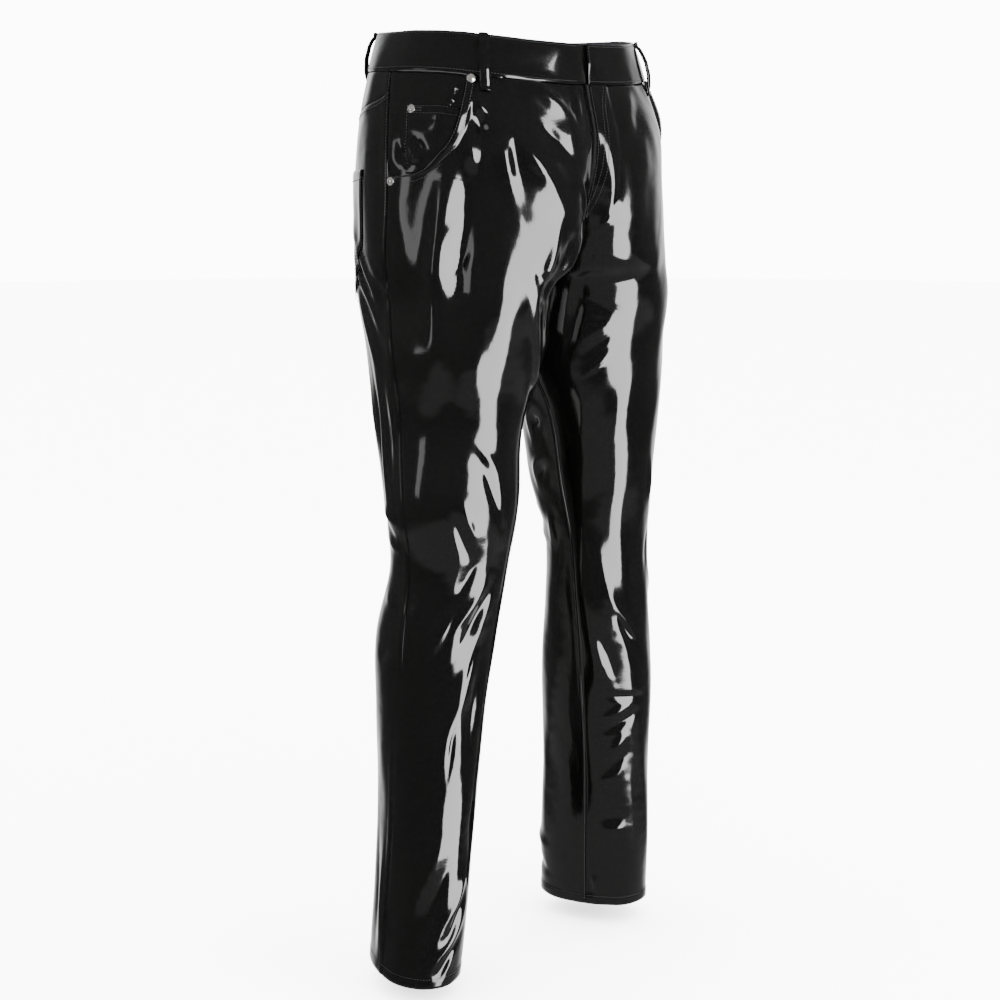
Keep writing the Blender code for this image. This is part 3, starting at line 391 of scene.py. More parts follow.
# ================================================================ creases
# A ridge (height > 0) or trough (height < 0) from place a to place b on one side. width is
# half its breadth, bow bends it sideways, peak is where along it the height is greatest.
Fold = namedtuple("Fold", "depth_a w_a depth_b w_b width height bow peak", defaults=(0.0, 0.5))
FOLDS = {
    RIGHT: (
        # hip: the rounded corner over the hip, the hollow beside it and the fan from the loop
        Fold(0.080, 0.300, 0.400, 0.155, 0.0140, 0.0105),
        Fold(0.080, 0.382, 0.400, 0.225, 0.0150, -0.0105),
        Fold(0.050, 0.272, 0.118, 0.262, 0.0100, 0.0045),
        Fold(0.050, 0.326, 0.110, 0.306, 0.0090, -0.0050),
        Fold(0.190, 0.340, 0.232, 0.265, 0.0060, 0.0026),
        Fold(0.232, 0.330, 0.268, 0.235, 0.0055, -0.0022),
        Fold(0.282, 0.290, 0.312, 0.190, 0.0055, 0.0022),
        Fold(0.062, 0.370, 0.092, 0.475, 0.007, 0.0066),
        Fold(0.078, 0.390, 0.120, 0.470, 0.007, -0.0060),
        Fold(0.090, 0.365, 0.155, 0.415, 0.008, 0.0076, peak=0.60),
        Fold(0.120, 0.370, 0.190, 0.395, 0.004, 0.0014),
        # facing: small cross creases beside the pocket's edge, crumples at its foot
        Fold(0.052, 0.270, 0.064, 0.340, 0.0045, 0.0034, peak=0.60),
        Fold(0.066, 0.265, 0.077, 0.340, 0.0045, 0.0034, peak=0.60),
        Fold(0.081, 0.265, 0.088, 0.335, 0.0045, 0.0032, peak=0.60),
        Fold(0.095, 0.265, 0.101, 0.325, 0.0040, 0.0028, peak=0.60),
        Fold(0.116, 0.090, 0.142, 0.180, 0.0045, 0.0034, 0.002),
        Fold(0.124, 0.085, 0.148, 0.140, 0.0040, -0.0034),
        Fold(0.112, 0.150, 0.138, 0.215, 0.0045, -0.0032),
        Fold(0.140, 0.110, 0.131, 0.240, 0.0040, 0.0028),
        # belly: long diagonals from the loop towards the crotch
        Fold(0.036, 0.540, 0.094, 0.935, 0.0095, 0.0080, 0.003),
        Fold(0.062, 0.530, 0.138, 0.900, 0.0110, -0.0066, 0.003),
        Fold(0.088, 0.480, 0.195, 0.800, 0.0110, 0.0058, 0.006, 0.45),
        Fold(0.080, 0.465, 0.175, 0.560, 0.0110, 0.0070),
        Fold(0.100, 0.530, 0.170, 0.600, 0.0080, -0.0030),
        Fold(0.046, 0.870, 0.086, 0.945, 0.0045, 0.0018),
        Fold(0.050, 0.830, 0.090, 0.920, 0.0040, -0.0016),
        Fold(0.146, 0.850, 0.188, 0.935, 0.0045, 0.0022),
        Fold(0.160, 0.840, 0.205, 0.900, 0.0045, -0.0022),
        Fold(0.190, 0.665, 0.318, 0.550, 0.0065, 0.0052),
        Fold(0.190, 0.900, 0.318, 0.565, 0.0065, 0.0048, -0.003),
        Fold(0.198, 0.770, 0.290, 0.640, 0.0110, -0.0045, peak=0.45),
        Fold(0.215, 0.960, 0.330, 0.640, 0.0090, -0.0036, -0.003),
        # inner thigh: faint upright creases
        Fold(0.235, 0.520, 0.430, 0.600, 0.0060, 0.0018, 0.004, 0.40),
        Fold(0.250, 0.555, 0.400, 0.640, 0.0050, -0.0018, 0.003, 0.45),
        Fold(0.300, 0.600, 0.450, 0.690, 0.0060, 0.0020, 0.003),
        # knee
        Fold(0.445, 0.385, 0.488, 0.540, 0.0060, 0.0024),
        Fold(0.466, 0.430, 0.545, 0.560, 0.0060, -0.0032, 0.003, 0.40),
        Fold(0.500, 0.335, 0.560, 0.410, 0.0055, 0.0022),
        Fold(0.515, 0.300, 0.585, 0.400, 0.0060, -0.0024),
        Fold(0.596, 0.550, 0.662, 0.395, 0.0070, 0.0034, 0.002, 0.45),
        Fold(0.612, 0.570, 0.690, 0.430, 0.0065, -0.0036, 0.002, 0.45),
        Fold(0.560, 0.500, 0.640, 0.330, 0.0090, -0.0030),
        Fold(0.615, 0.375, 0.688, 0.245, 0.0045, 0.0022, 0.002, 0.45),
        Fold(0.628, 0.345, 0.690, 0.235, 0.0035, -0.0016, 0.002),
        Fold(0.632, 0.380, 0.696, 0.280, 0.0040, 0.0018, 0.002, 0.45),
        Fold(0.610, 0.600, 0.745, 0.460, 0.0060, 0.0028, 0.004, 0.40),
        Fold(0.652, 0.585, 0.750, 0.465, 0.0045, -0.0028, 0.002),
        Fold(0.665, 0.600, 0.790, 0.430, 0.0090, 0.0032, peak=0.45),
        Fold(0.755, 0.500, 0.830, 0.450, 0.0040, -0.0020),
        Fold(0.690, 0.420, 0.800, 0.300, 0.0140, -0.0028),
        Fold(0.680, 0.640, 0.820, 0.560, 0.0080, -0.0026),
        # hem
        Fold(0.860, 0.510, 1.010, 0.250, 0.0150, 0.0026),
        Fold(0.885, 0.560, 1.035, 0.330, 0.0120, -0.0026),
        Fold(0.925, 0.655, 1.006, 0.500, 0.0060, 0.0034, 0.004),
        Fold(0.950, 0.675, 1.030, 0.490, 0.0055, -0.0034, 0.003),
        Fold(0.980, 0.700, 1.048, 0.420, 0.0055, 0.0034, 0.002),
        Fold(1.004, 0.690, 1.058, 0.470, 0.0045, -0.0026),
        Fold(1.016, 0.640, 1.062, 0.520, 0.0045, 0.0022),
        Fold(0.880, -0.120, 1.040, -0.060, 0.0090, -0.0030, peak=0.60),
        Fold(0.900, -0.020, 1.050, 0.020, 0.0080, 0.0024, peak=0.60),
        # waistband beside the front loop
        Fold(-0.010, 0.300, 0.040, 0.350, 0.0080, 0.0030),
        Fold(-0.010, 0.390, 0.036, 0.405, 0.0060, -0.0030),
        Fold(0.000, 0.020, 0.030, 0.070, 0.0050, 0.0014),
        # side: drag lines from the back pocket, upright creases behind the thigh
        Fold(0.205, -0.300, 0.305, -0.060, 0.0060, 0.0030, 0.004, 0.40),
        Fold(0.218, -0.300, 0.325, -0.050, 0.0055, -0.0026, 0.004, 0.45),
        Fold(0.232, -0.290, 0.345, -0.010, 0.0055, 0.0028, 0.003, 0.45),
        Fold(0.250, -0.260, 0.360, -0.030, 0.0050, -0.0022, 0.003),
        Fold(0.242, -0.120, 0.305, 0.060, 0.0045, 0.0018),
        Fold(0.265, -0.270, 0.380, -0.080, 0.0050, 0.0022, 0.003),
        Fold(0.340, -0.270, 0.500, -0.220, 0.0060, 0.0026, 0.004),
        Fold(0.335, -0.200, 0.530, -0.150, 0.0055, -0.0024, 0.003),
        Fold(0.350, -0.150, 0.545, -0.090, 0.0055, 0.0026, -0.003, 0.55),
        Fold(0.370, -0.090, 0.520, -0.040, 0.0045, -0.0018),
        Fold(0.395, -0.050, 0.480, -0.015, 0.0035, 0.0012),
        Fold(0.520, -0.200, 0.545, 0.010, 0.0055, 0.0028),
        Fold(0.536, -0.240, 0.562, 0.000, 0.0050, -0.0028),
        Fold(0.555, -0.200, 0.575, 0.020, 0.0045, 0.0018),
        Fold(0.620, -0.120, 0.640, 0.060, 0.0070, 0.0022, peak=0.40),
        Fold(0.700, -0.080, 0.680, 0.060, 0.0080, -0.0018, peak=0.40),
        # seat and the back of the leg
        Fold(0.262, -0.860, 0.318, -0.480, 0.0080, 0.0030, 0.005, 0.45),
        Fold(0.284, -0.900, 0.345, -0.520, 0.0090, -0.0038, 0.005, 0.45),
        Fold(0.312, -0.900, 0.385, -0.580, 0.0070, 0.0026, 0.004, 0.45),
        Fold(0.360, -0.600, 0.500, -0.520, 0.0080, 0.0022, 0.004),
        Fold(0.525, -0.300, 0.560, -0.780, 0.0070, 0.0034, 0.006),
        Fold(0.548, -0.280, 0.582, -0.820, 0.0080, -0.0044, 0.005),
        Fold(0.578, -0.330, 0.598, -0.760, 0.0070, 0.0032, -0.004, 0.45),
        Fold(0.610, -0.300, 0.592, -0.820, 0.0060, -0.0028, -0.004),
        Fold(0.650, -0.300, 0.730, -0.640, 0.0080, 0.0026),
        Fold(0.800, -0.420, 0.880, -0.720, 0.0090, -0.0022),
        Fold(0.955, -0.300, 1.000, -0.760, 0.0080, 0.0034, 0.004),
        Fold(0.985, -0.260, 1.028, -0.800, 0.0070, -0.0034, 0.004, 0.45),
    ),
    LEFT: (
        # belly and fly
        Fold(0.046, 0.620, 0.098, 0.900, 0.0100, 0.0032, 0.002, 0.45),
        Fold(0.062, 0.610, 0.120, 0.860, 0.0110, -0.0026, 0.002, 0.45),
        Fold(0.185, 0.860, 0.215, 0.935, 0.0045, 0.0020),
        Fold(0.205, 0.965, 0.382, 0.800, 0.0065, 0.0050),
        Fold(0.195, 0.905, 0.382, 0.780, 0.0065, 0.0050, 0.003),
        Fold(0.232, 0.925, 0.362, 0.800, 0.0080, -0.0070),
        Fold(0.232, 0.885, 0.255, 0.840, 0.0040, -0.0022),
        Fold(0.250, 0.780, 0.400, 0.730, 0.0100, -0.0034, peak=0.40),
        Fold(0.080, 0.930, 0.200, 0.925, 0.0120, 0.0050, peak=0.60),
        Fold(0.298, 0.760, 0.318, 0.590, 0.0040, -0.0024),
        Fold(0.346, 0.740, 0.324, 0.650, 0.0035, 0.0018),
        Fold(0.362, 0.735, 0.336, 0.650, 0.0030, -0.0016),
        Fold(0.386, 0.735, 0.350, 0.655, 0.0035, 0.0016),
        # knee and shin
        Fold(0.560, 0.900, 0.810, 0.870, 0.0260, 0.0115, peak=0.45),
        Fold(0.598, 0.810, 0.748, 0.665, 0.0090, 0.0036),
        Fold(0.655, 0.770, 0.718, 0.565, 0.0045, 0.0024),
        Fold(0.665, 0.745, 0.728, 0.610, 0.0060, -0.0034),
        Fold(0.690, 0.835, 0.765, 0.760, 0.0060, -0.0034),
        Fold(0.782, 0.880, 0.790, 0.500, 0.0035, -0.0028),
        Fold(0.818, 0.860, 0.792, 0.640, 0.0050, 0.0026),
        Fold(0.836, 0.880, 0.806, 0.600, 0.0050, -0.0026),
        Fold(0.872, 0.820, 0.828, 0.680, 0.0070, 0.0026),
        Fold(0.888, 0.840, 0.858, 0.680, 0.0045, -0.0022),
        Fold(0.900, 0.880, 0.884, 0.720, 0.0050, 0.0018),
        Fold(0.948, 0.900, 0.944, 0.660, 0.0055, -0.0018),
        Fold(0.962, 0.880, 0.960, 0.680, 0.0055, 0.0018),
        Fold(1.020, 0.930, 1.050, 0.880, 0.0050, 0.0028),
        Fold(1.010, 0.960, 1.062, 0.915, 0.0050, -0.0030, peak=0.60),
        # inner knee: round creases, and the slack below them
        Fold(0.425, -0.970, 0.475, -0.800, 0.0055, 0.0034, 0.010),
        Fold(0.440, -0.960, 0.462, -0.840, 0.0060, -0.0032, 0.004),
        Fold(0.485, -0.970, 0.530, -0.790, 0.0055, 0.0032, 0.009),
        Fold(0.500, -0.960, 0.520, -0.830, 0.0055, -0.0030, 0.003),
        Fold(0.545, -0.950, 0.600, -0.820, 0.0060, 0.0026),
        Fold(0.560, -0.970, 0.640, -0.860, 0.0055, -0.0024),
        # side, as on the right
        Fold(0.210, -0.290, 0.310, -0.050, 0.0060, 0.0028, 0.004, 0.45),
        Fold(0.230, -0.280, 0.335, -0.020, 0.0055, -0.0026, 0.004, 0.45),
        Fold(0.248, -0.240, 0.355, 0.010, 0.0055, 0.0026, 0.003),
        Fold(0.340, -0.240, 0.510, -0.180, 0.0060, 0.0024, 0.003),
        Fold(0.350, -0.160, 0.535, -0.110, 0.0055, -0.0024, -0.002),
        Fold(0.480, 0.440, 0.560, 0.340, 0.0070, 0.0024),
        Fold(0.545, -0.180, 0.570, 0.080, 0.0055, 0.0026),
        Fold(0.560, 0.300, 0.640, 0.420, 0.0070, -0.0026),
        Fold(0.620, 0.350, 0.690, 0.180, 0.0055, 0.0022, 0.002),
        Fold(0.960, 0.300, 1.040, 0.120, 0.0090, 0.0026),
        # seat and the back of the leg
        Fold(0.258, -0.880, 0.322, -0.500, 0.0080, 0.0030, 0.006, 0.45),
        Fold(0.280, -0.890, 0.338, -0.460, 0.0090, -0.0036, 0.004, 0.40),
        Fold(0.318, -0.920, 0.378, -0.560, 0.0070, 0.0024, 0.004),
        Fold(0.370, -0.480, 0.520, -0.440, 0.0080, 0.0022, -0.004),
        Fold(0.520, -0.260, 0.556, -0.740, 0.0070, 0.0032, 0.006),
        Fold(0.542, -0.300, 0.574, -0.780, 0.0080, -0.0042, 0.005, 0.55),
        Fold(0.584, -0.280, 0.592, -0.780, 0.0070, 0.0032, -0.004),
        Fold(0.618, -0.320, 0.598, -0.800, 0.0060, -0.0026, -0.004),
        Fold(0.660, -0.340, 0.745, -0.620, 0.0080, 0.0024),
        Fold(0.962, -0.260, 1.004, -0.740, 0.0080, 0.0032, 0.004),
        Fold(0.996, -0.240, 1.036, -0.780, 0.0070, -0.0032, 0.004),
    ),
}
FOLD_END = 0.12          # share of a crease's height left at its two ends
FOLD_POWER = 1.6         # 2 is a round crest, 1 a sharp one
WAVE_SEED = 20
SWELLS = 14              # gentle upright swells that keep the reflections' edges uneven
RIPPLES = 8              # fine level wrinkles that fray them


def make_waves():
    """Wavelength, direction, start and height of each swell and ripple."""
    draw = np.random.default_rng(WAVE_SEED)
    length = [draw.uniform(0.030, 0.085, SWELLS), draw.uniform(0.011, 0.024, RIPPLES)]
    lean = [draw.uniform(-0.55, 0.55, SWELLS), draw.uniform(0.85, 2.25, RIPPLES)]
    steep = [draw.uniform(0.0016, 0.0032, SWELLS), draw.uniform(0.0003, 0.0009, RIPPLES)]
    length, lean, steep = (np.concatenate(pair) for pair in (length, lean, steep))
    return length, lean, draw.uniform(0, math.tau, SWELLS + RIPPLES), length * steep


WAVES = make_waves()


def same_place(depth, w):
    """w past the inner edge of a leg, given from the other way round below the crotch."""
    return np.where((np.abs(w) > 1) & (depth >= CROTCH), w - 2 * np.sign(w), w)


def creases(side, depth, w):
    """Height of all creases of one side at each place."""
    total = np.zeros(np.shape(w))
    w = same_place(depth, w)
    x, y = across(side, depth, w), depth
    for fold in FOLDS[side]:
        middle = (fold.depth_a + fold.depth_b) / 2
        ax = float(across(side, middle, fold.w_a))
        bx = float(across(side, middle, fold.w_b))
        run = math.hypot(bx - ax, fold.depth_b - fold.depth_a)
        dx, dy = (bx - ax) / run, (fold.depth_b - fold.depth_a) / run
        long = ((x - ax) * dx + (y - fold.depth_a) * dy) / run
        aside = (x - ax) * dy - (y - fold.depth_a) * dx
        near = np.clip(long, 0.0, 1.0)
        aside = aside - fold.bow * 4 * near * (1 - near)
        beyond = (long - near) * run
        away = np.hypot(aside, beyond)
        along = np.where(near < fold.peak, near / fold.peak, (1 - near) / (1 - fold.peak))
        swell = FOLD_END + (1 - FOLD_END) * ease(along, 0.0, 1.0)
        total += fold.height * swell * np.exp(-np.abs(away / fold.width) ** FOLD_POWER)
    for length, lean, start, height in zip(*WAVES):
        way = x * math.cos(lean) + y * math.sin(lean)
        total += height * np.sin(math.tau / length * way + start + side)
    return total


def seam_reliefs(side, depth, w, kind):
    """The seams' own troughs and, on the back, the pressed ridges of their turned edges."""
    from_seam = across(side, depth, w) - across(side, depth, side_seam(depth))
    rise = -0.0007 * bump(from_seam, SEAM_TROUGH)
    if kind == "back":
        rise += 0.0005 * ridge(-from_seam, 0.0015, 0.007, 0.0015, 0.003)
        from_yoke = depth - yoke_line(w)
        rise += -0.0007 * bump(from_yoke, SEAM_TROUGH)
        rise += 0.0005 * ridge(from_yoke, 0.0015, 0.008, 0.0015, 0.003)
    shift = line_w(INSEAM_SHIFT, depth)
    inner = 1 - np.abs(w) - (shift if kind == "front" else -shift)
    from_inner = inner * half_length(side, depth, kind == "back")
    rise += -0.0008 * bump(from_inner, EDGE_TROUGH)
    rise += -0.0006 * bump(depth - BAND_DEPTH, EDGE_TROUGH)
    return rise


def fade_at_middle(side, depth, w, reach=0.012):
    """0 at the middle line and the inseam, 1 away from them."""
    w = same_place(depth, w)
    return ease((1 - np.abs(w)) * span_at(side, depth, w), 0.0, reach)


def crease_height(side, depth, w):
    """Height of the creases, smoothed out where two panels meet."""
    return creases(side, depth, w) * fade_at_middle(side, depth, w)


# ================================================================ cloth meshes
def cloth_points(side, depth, w, lift):
    """Points of creased cloth, lifted off the form."""
    height = crease_height(side, depth, w) + lift
    return ring(side, depth, w) + outward(side, depth, w) * height[..., None]


def grid_mesh(name, points, uvs):
    """A grid laid through rows and columns of points, with its own flat map in metres."""
    rows, cols = points.shape[:2]
    sheet = bmesh.new()
    bmesh.ops.create_grid(sheet, x_segments=cols - 1, y_segments=rows - 1, size=0.5)
    mesh = bpy.data.meshes.new(name)
    sheet.to_mesh(mesh)
    sheet.free()
    flat = np.empty(len(mesh.vertices) * 3)
    mesh.vertices.foreach_get("co", flat)
    flat = flat.reshape(-1, 3)
    col = np.rint((flat[:, 0] + 0.5) * (cols - 1)).astype(int)
    row = np.rint((flat[:, 1] + 0.5) * (rows - 1)).astype(int)
    mesh.vertices.foreach_set("co", points[row, col].ravel())
    corner = np.empty(len(mesh.loops), int)
    mesh.loops.foreach_get("vertex_index", corner)
    mesh.uv_layers.new(name="flat").data.foreach_set("uv", uvs[row, col][corner].ravel())
    mesh.update()
    return mesh


def face_out(mesh, place, normal):
    """Turns the faces so that the one nearest a place looks along the normal."""
    nearest = min(mesh.polygons, key=lambda face: (face.center - place).length)
    if nearest.normal.dot(normal) < 0:
        mesh.flip_normals()
    mesh.update()


def add_piece(name, mesh, material, nodes, wall=None, rim=None):
    """A finished piece on the root body, with its wall and rounded rim."""
    mesh.materials.append(material)
    mesh.shade_smooth()
    obj = bpy.data.objects.new(name, mesh)
    bpy.context.scene.collection.objects.link(obj)
    if wall:
        solidify = obj.modifiers.new("wall", "SOLIDIFY")
        solidify.thickness = wall
        solidify.offset = -1.0
        solidify.use_quality_normals = True
        if material is PVC:
            mesh.materials.append(KNIT)
            solidify.material_offset = 1
    if rim:
        bevel = obj.modifiers.new("rim", "BEVEL")
        bevel.width = rim
        bevel.segments = 2
        bevel.limit_method = "ANGLE"
        bevel.angle_limit = math.radians(50)
    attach(obj, "root")
    if nodes:
        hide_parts(*nodes)
    return obj


def cloth_piece(name, side, depth, w, points, wall=CLOTH, rim=None, flat=None):
    """A sheet of cloth on the form, on the root body. Without a stated size, the size it was cut
    to and its area are measured on the sheet itself, and nothing uses them."""
    uvs = np.stack([across(side, depth, np.clip(w, -1, 1)), depth], -1)
    mesh = grid_mesh(name, points, uvs)
    r, c = w.shape[0] // 2, w.shape[1] // 2
    out = outward(side, depth[r:r + 1, c], w[r:r + 1, c])[0]
    face_out(mesh, Vector(points[r, c]), Vector(out))
    obj = add_piece(name, mesh, PVC, [name], wall, rim)
    options = {}
    if flat is None:
        flat, options["area"] = cut_size(points)
    return obj


def even_rows(start, end, extra=()):
    """Depths at the mesh's spacing, with any extra ones."""
    count = max(2, round((end - start) / GRID))
    return np.unique(np.concatenate([np.linspace(start, end, count + 1), extra]))


def panel_grid(side, rows, start, end, back):
    """Depth and w grids between two edges given at each row."""
    width = np.abs(end - start) * half_length(side, rows, back)
    columns = max(3, round(float(width.max()) / GRID))
    share = np.linspace(0.0, 1.0, columns + 1)
    w = start[:, None] + (end - start)[:, None] * share[None]
    return np.repeat(rows[:, None], columns + 1, 1), w


def surface_area(points):
    a = points[1:, :-1] - points[:-1, :-1]
    b = points[:-1, 1:] - points[:-1, :-1]
    return float(np.linalg.norm(np.cross(a, b), axis=-1).sum())


def cut_size(points):
    """Longest lines across and along a sheet, as the rectangle it is cut from, and its area."""
    widths = np.linalg.norm(np.diff(points, axis=1), axis=2).sum(1)
    lengths = np.linalg.norm(np.diff(points, axis=0), axis=2).sum(0)
    width, length = round(float(widths.max()), 3), round(float(lengths.max()), 3)
    return (width, length), round(min(surface_area(points), width * length), 4)


# ================================================================ materials
def linear(code):
    """sRGB hex to linear colour."""
    parts = [int(code[i:i + 2], 16) / 255 for i in (1, 3, 5)]
    return [p / 12.92 if p <= 0.04045 else ((p + 0.055) / 1.055) ** 2.4 for p in parts] + [1.0]


def node(tree, kind, links=(), **settings):
    """Adds a node, sets its inputs and properties, and links outputs to its inputs."""
    made = tree.nodes.new(kind)
    for key, value in settings.items():
        if key in made.inputs:
            made.inputs[key].default_value = value
        else:
            setattr(made, key, value)
    for source, socket in links:
        tree.links.new(source, made.inputs[socket])
    return made


def new_material(name):
    material = bpy.data.materials.new(name)
    material.use_nodes = True
    return material, material.node_tree, material.node_tree.nodes["Principled BSDF"]


def pvc_cloth():
    """Calendered pvc on a knitted backing: near-black, mirror-like, with a soft orange peel
    and fine creasing that make the edges of its reflections waver."""
    material, tree, shader = new_material("Calendered black pvc on knit")
    shader.inputs["Base Color"].default_value = linear("#010101")
    shader.inputs["Roughness"].default_value = 0.10
    shader.inputs["IOR"].default_value = 1.53
    place = node(tree, "ShaderNodeTexCoord")
    swell = node(tree, "ShaderNodeTexNoise", [(place.outputs["Object"], "Vector")],
                 Scale=26.0, Detail=2.0, Roughness=0.45)
    peel = node(tree, "ShaderNodeTexNoise", [(place.outputs["Object"], "Vector")],
                Scale=420.0, Detail=1.0, Roughness=0.5)
    low = node(tree, "ShaderNodeBump", [(swell.outputs["Fac"], "Height")],
               Strength=1.0, Distance=0.0006)
    fine = node(tree, "ShaderNodeBump", [(peel.outputs["Fac"], "Height"),
                                         (low.outputs["Normal"], "Normal")],
                Strength=0.5, Distance=0.00006)
    tree.links.new(fine.outputs["Normal"], shader.inputs["Normal"])
    return material


def nickel():
    """Nickel-plated brass, tumbled bright: a clean mirror with soft scuffs."""
    material, tree, shader = new_material("Bright nickel plating")
    shader.inputs["Base Color"].default_value = linear("#D6D4D0")
    shader.inputs["Metallic"].default_value = 1.0
    place = node(tree, "ShaderNodeTexCoord")
    scuff = node(tree, "ShaderNodeTexNoise", [(place.outputs["Object"], "Vector")],
                 Scale=900.0, Detail=3.0)
    rough = node(tree, "ShaderNodeMapRange", [(scuff.outputs["Fac"], "Value")],
                 **{"To Min": 0.12, "To Max": 0.30})
    tree.links.new(rough.outputs["Result"], shader.inputs["Roughness"])
    return material


def thread_black():
    """Black polyester sewing thread, a little duller and paler than the pvc."""
    material, tree, shader = new_material("Black polyester sewing thread")
    shader.inputs["Base Color"].default_value = linear("#0B0B0C")
    shader.inputs["Roughness"].default_value = 0.42
    place = node(tree, "ShaderNodeTexCoord")
    twist = node(tree, "ShaderNodeTexNoise", [(place.outputs["Object"], "Vector")],
                 Scale=2600.0, Detail=1.0)
    ply = node(tree, "ShaderNodeBump", [(twist.outputs["Fac"], "Height")],
               Strength=0.6, Distance=0.0001)
    tree.links.new(ply.outputs["Normal"], shader.inputs["Normal"])
    return material


def knit_backing():
    """Black polyester tricot behind the pvc: matt, with fine upright ribs of loops. Real ribs
    are 0.8 mm apart and drawn at 1.6 mm, so that they still show in a view of the whole."""
    material, tree, shader = new_material("Black polyester tricot backing")
    shader.inputs["Base Color"].default_value = linear("#1C1C1E")
    shader.inputs["Roughness"].default_value = 0.85
    place = node(tree, "ShaderNodeUVMap", uv_map="flat")
    ribs = node(tree, "ShaderNodeTexWave", [(place.outputs["UV"], "Vector")],
                Scale=98.0, Distortion=1.2)
    rise = node(tree, "ShaderNodeBump", [(ribs.outputs["Fac"], "Height")],
                Strength=0.7, Distance=0.0004)
    tree.links.new(rise.outputs["Normal"], shader.inputs["Normal"])
    return material


PVC, NICKEL, THREAD_BLACK, KNIT = pvc_cloth(), nickel(), thread_black(), knit_backing()


# ================================================================ the garment's pieces
def hem_lift(depth):
    """The doubled cloth of the turned hem, with a trough along its stitches."""
    up = OUTSEAM - depth
    doubled = 1 - ease(up, HEM_TURN - 0.002, HEM_TURN + 0.001)
    return 0.0006 * doubled - 0.0004 * bump(up - HEM_TURN + 0.002, 0.0015)


def front_lift(side, depth, w):
    """Seam troughs, the pocket's turned edge and the fly's lap on a front panel."""
    lift = seam_reliefs(side, depth, w, "front") + hem_lift(depth)
    span = half_length(side, depth, False)
    from_edge = (w - opening_edge(depth)) * span
    at_pocket = 1 - ease(depth, POCKET_END - 0.006, POCKET_END + 0.006)
    turned = 0.0020 * ridge(from_edge, 0.0, 0.0085, 0.0022, 0.0035)
    gape = (POCKET_GAPE if side == RIGHT else 0.6 * POCKET_GAPE) * bump(depth - 0.090, 0.036)
    lift = lift + at_pocket * (turned + 0.0002 + gape * (1 - ease(from_edge, -0.001, 0.014)))
    from_middle = (1 - w) * span
    at_fly = 1 - ease(depth, FLY_END - 0.01, FLY_END + 0.015)
    if side == LEFT:
        lap = 1 - ease(from_middle, FLY_WIDTH, FLY_WIDTH + 0.008)
        return lift + at_fly * 0.0018 * lap
    return lift - at_fly * (UNDER + 0.0006) * (1 - ease(from_middle, 0.001, 0.012))


def back_lift(side, depth, w):
    """Seam troughs, pressed ridges and the hem on a back panel."""
    return seam_reliefs(side, depth, w, "back") + hem_lift(depth)


def make_front(side):
    rows = even_rows(BAND_DEPTH, OUTSEAM, POCKET_FOOT_ROWS)
    end = 1 - line_w(INSEAM_SHIFT, rows)
    depth, w = panel_grid(side, rows, opening_edge(rows), end, False)
    points = cloth_points(side, depth, w, front_lift(side, depth, w))
    return cloth_piece(f"front_{SIDES[side]}", side, depth, w, points)


def make_back(side):
    """The rows start level at the side seam and sink to the yoke's slant at the middle."""
    rows = even_rows(YOKE_SIDE, OUTSEAM)
    depth, w = panel_grid(side, rows, side_seam(rows), -1 - line_w(INSEAM_SHIFT, rows), True)
    fade = np.clip(1 - (rows - YOKE_SIDE) / YOKE_FADE, 0.0, 1.0)[:, None]
    depth = depth + (yoke_line(w) - YOKE_SIDE) * fade
    points = cloth_points(side, depth, w, back_lift(side, depth, w))
    return cloth_piece(f"back_{SIDES[side]}", side, depth, w, points)


def make_yoke(side):
    share = np.linspace(0.0, 1.0, 20)
    rows = BAND_DEPTH + share * (YOKE_SIDE - BAND_DEPTH)
    depth, w = panel_grid(side, rows, side_seam(rows), np.full_like(rows, -1.0), True)
    depth = BAND_DEPTH + (yoke_line(w) - BAND_DEPTH) * share[:, None]
    points = cloth_points(side, depth, w, seam_reliefs(side, depth, w, "back"))
    return cloth_piece(f"yoke_{SIDES[side]}", side, depth, w, points)


def band_puff(side, depth, w):
    """Slight swelling between the stitched edges of the waistband, and its own creases."""
    middle = np.sin(np.pi * np.clip(depth / BAND_DEPTH, 0, 1))
    if side == LEFT:     # the button under the lap
        from_button = np.hypot((w - BUTTON.w) * half_length(side, depth, False),
                               depth - BUTTON.depth)
        middle = middle + BUTTON_BULGE * bump(from_button, BUTTON_SPREAD)
    tilt = BAND_TILT * (depth / BAND_DEPTH - 0.5)
    return BAND_SWELL * middle + tilt + BAND_CREASED * crease_height(side, depth, w)


def make_waistband():
    """One strip from its left end at the fly round to its right end under the left one."""
    rows = np.linspace(0.0, BAND_DEPTH, 18)
    lap = BAND_LAP / half_length(LEFT, BAND_DEPTH / 2, False)
    left_w = np.linspace(1.0, -1.0, 150)
    right_w = np.concatenate([np.linspace(-1.0, 1.0, 150)[1:], 1 + np.linspace(0.0, lap, 10)[1:]])
    under = np.interp(right_w, [0.93, 0.985], [0.0, -(BAND_CLOTH + LAYER)])
    grids = []
    for side, w_line, lift in ((LEFT, left_w, 0.0 * left_w), (RIGHT, right_w, under)):
        depth, w = np.meshgrid(rows, w_line, indexing="ij")
        edge = bump(depth, EDGE_TROUGH) + bump(depth - BAND_DEPTH, EDGE_TROUGH)
        rise = -0.0006 * edge + lift[None] + band_puff(side, depth, w)
        grids.append((depth, w, ring(side, depth, w) + outward(side, depth, w) * rise[..., None]))
    (depth_l, w_l, points_l), (depth_r, w_r, points_r) = grids
    depth, w = np.concatenate([depth_l, depth_r], 1), np.concatenate([w_l, -2 - w_r], 1)
    points = np.concatenate([points_l, points_r], 1)
    return cloth_piece("waistband", LEFT, depth, w, points, BAND_CLOTH, rim=0.0006)


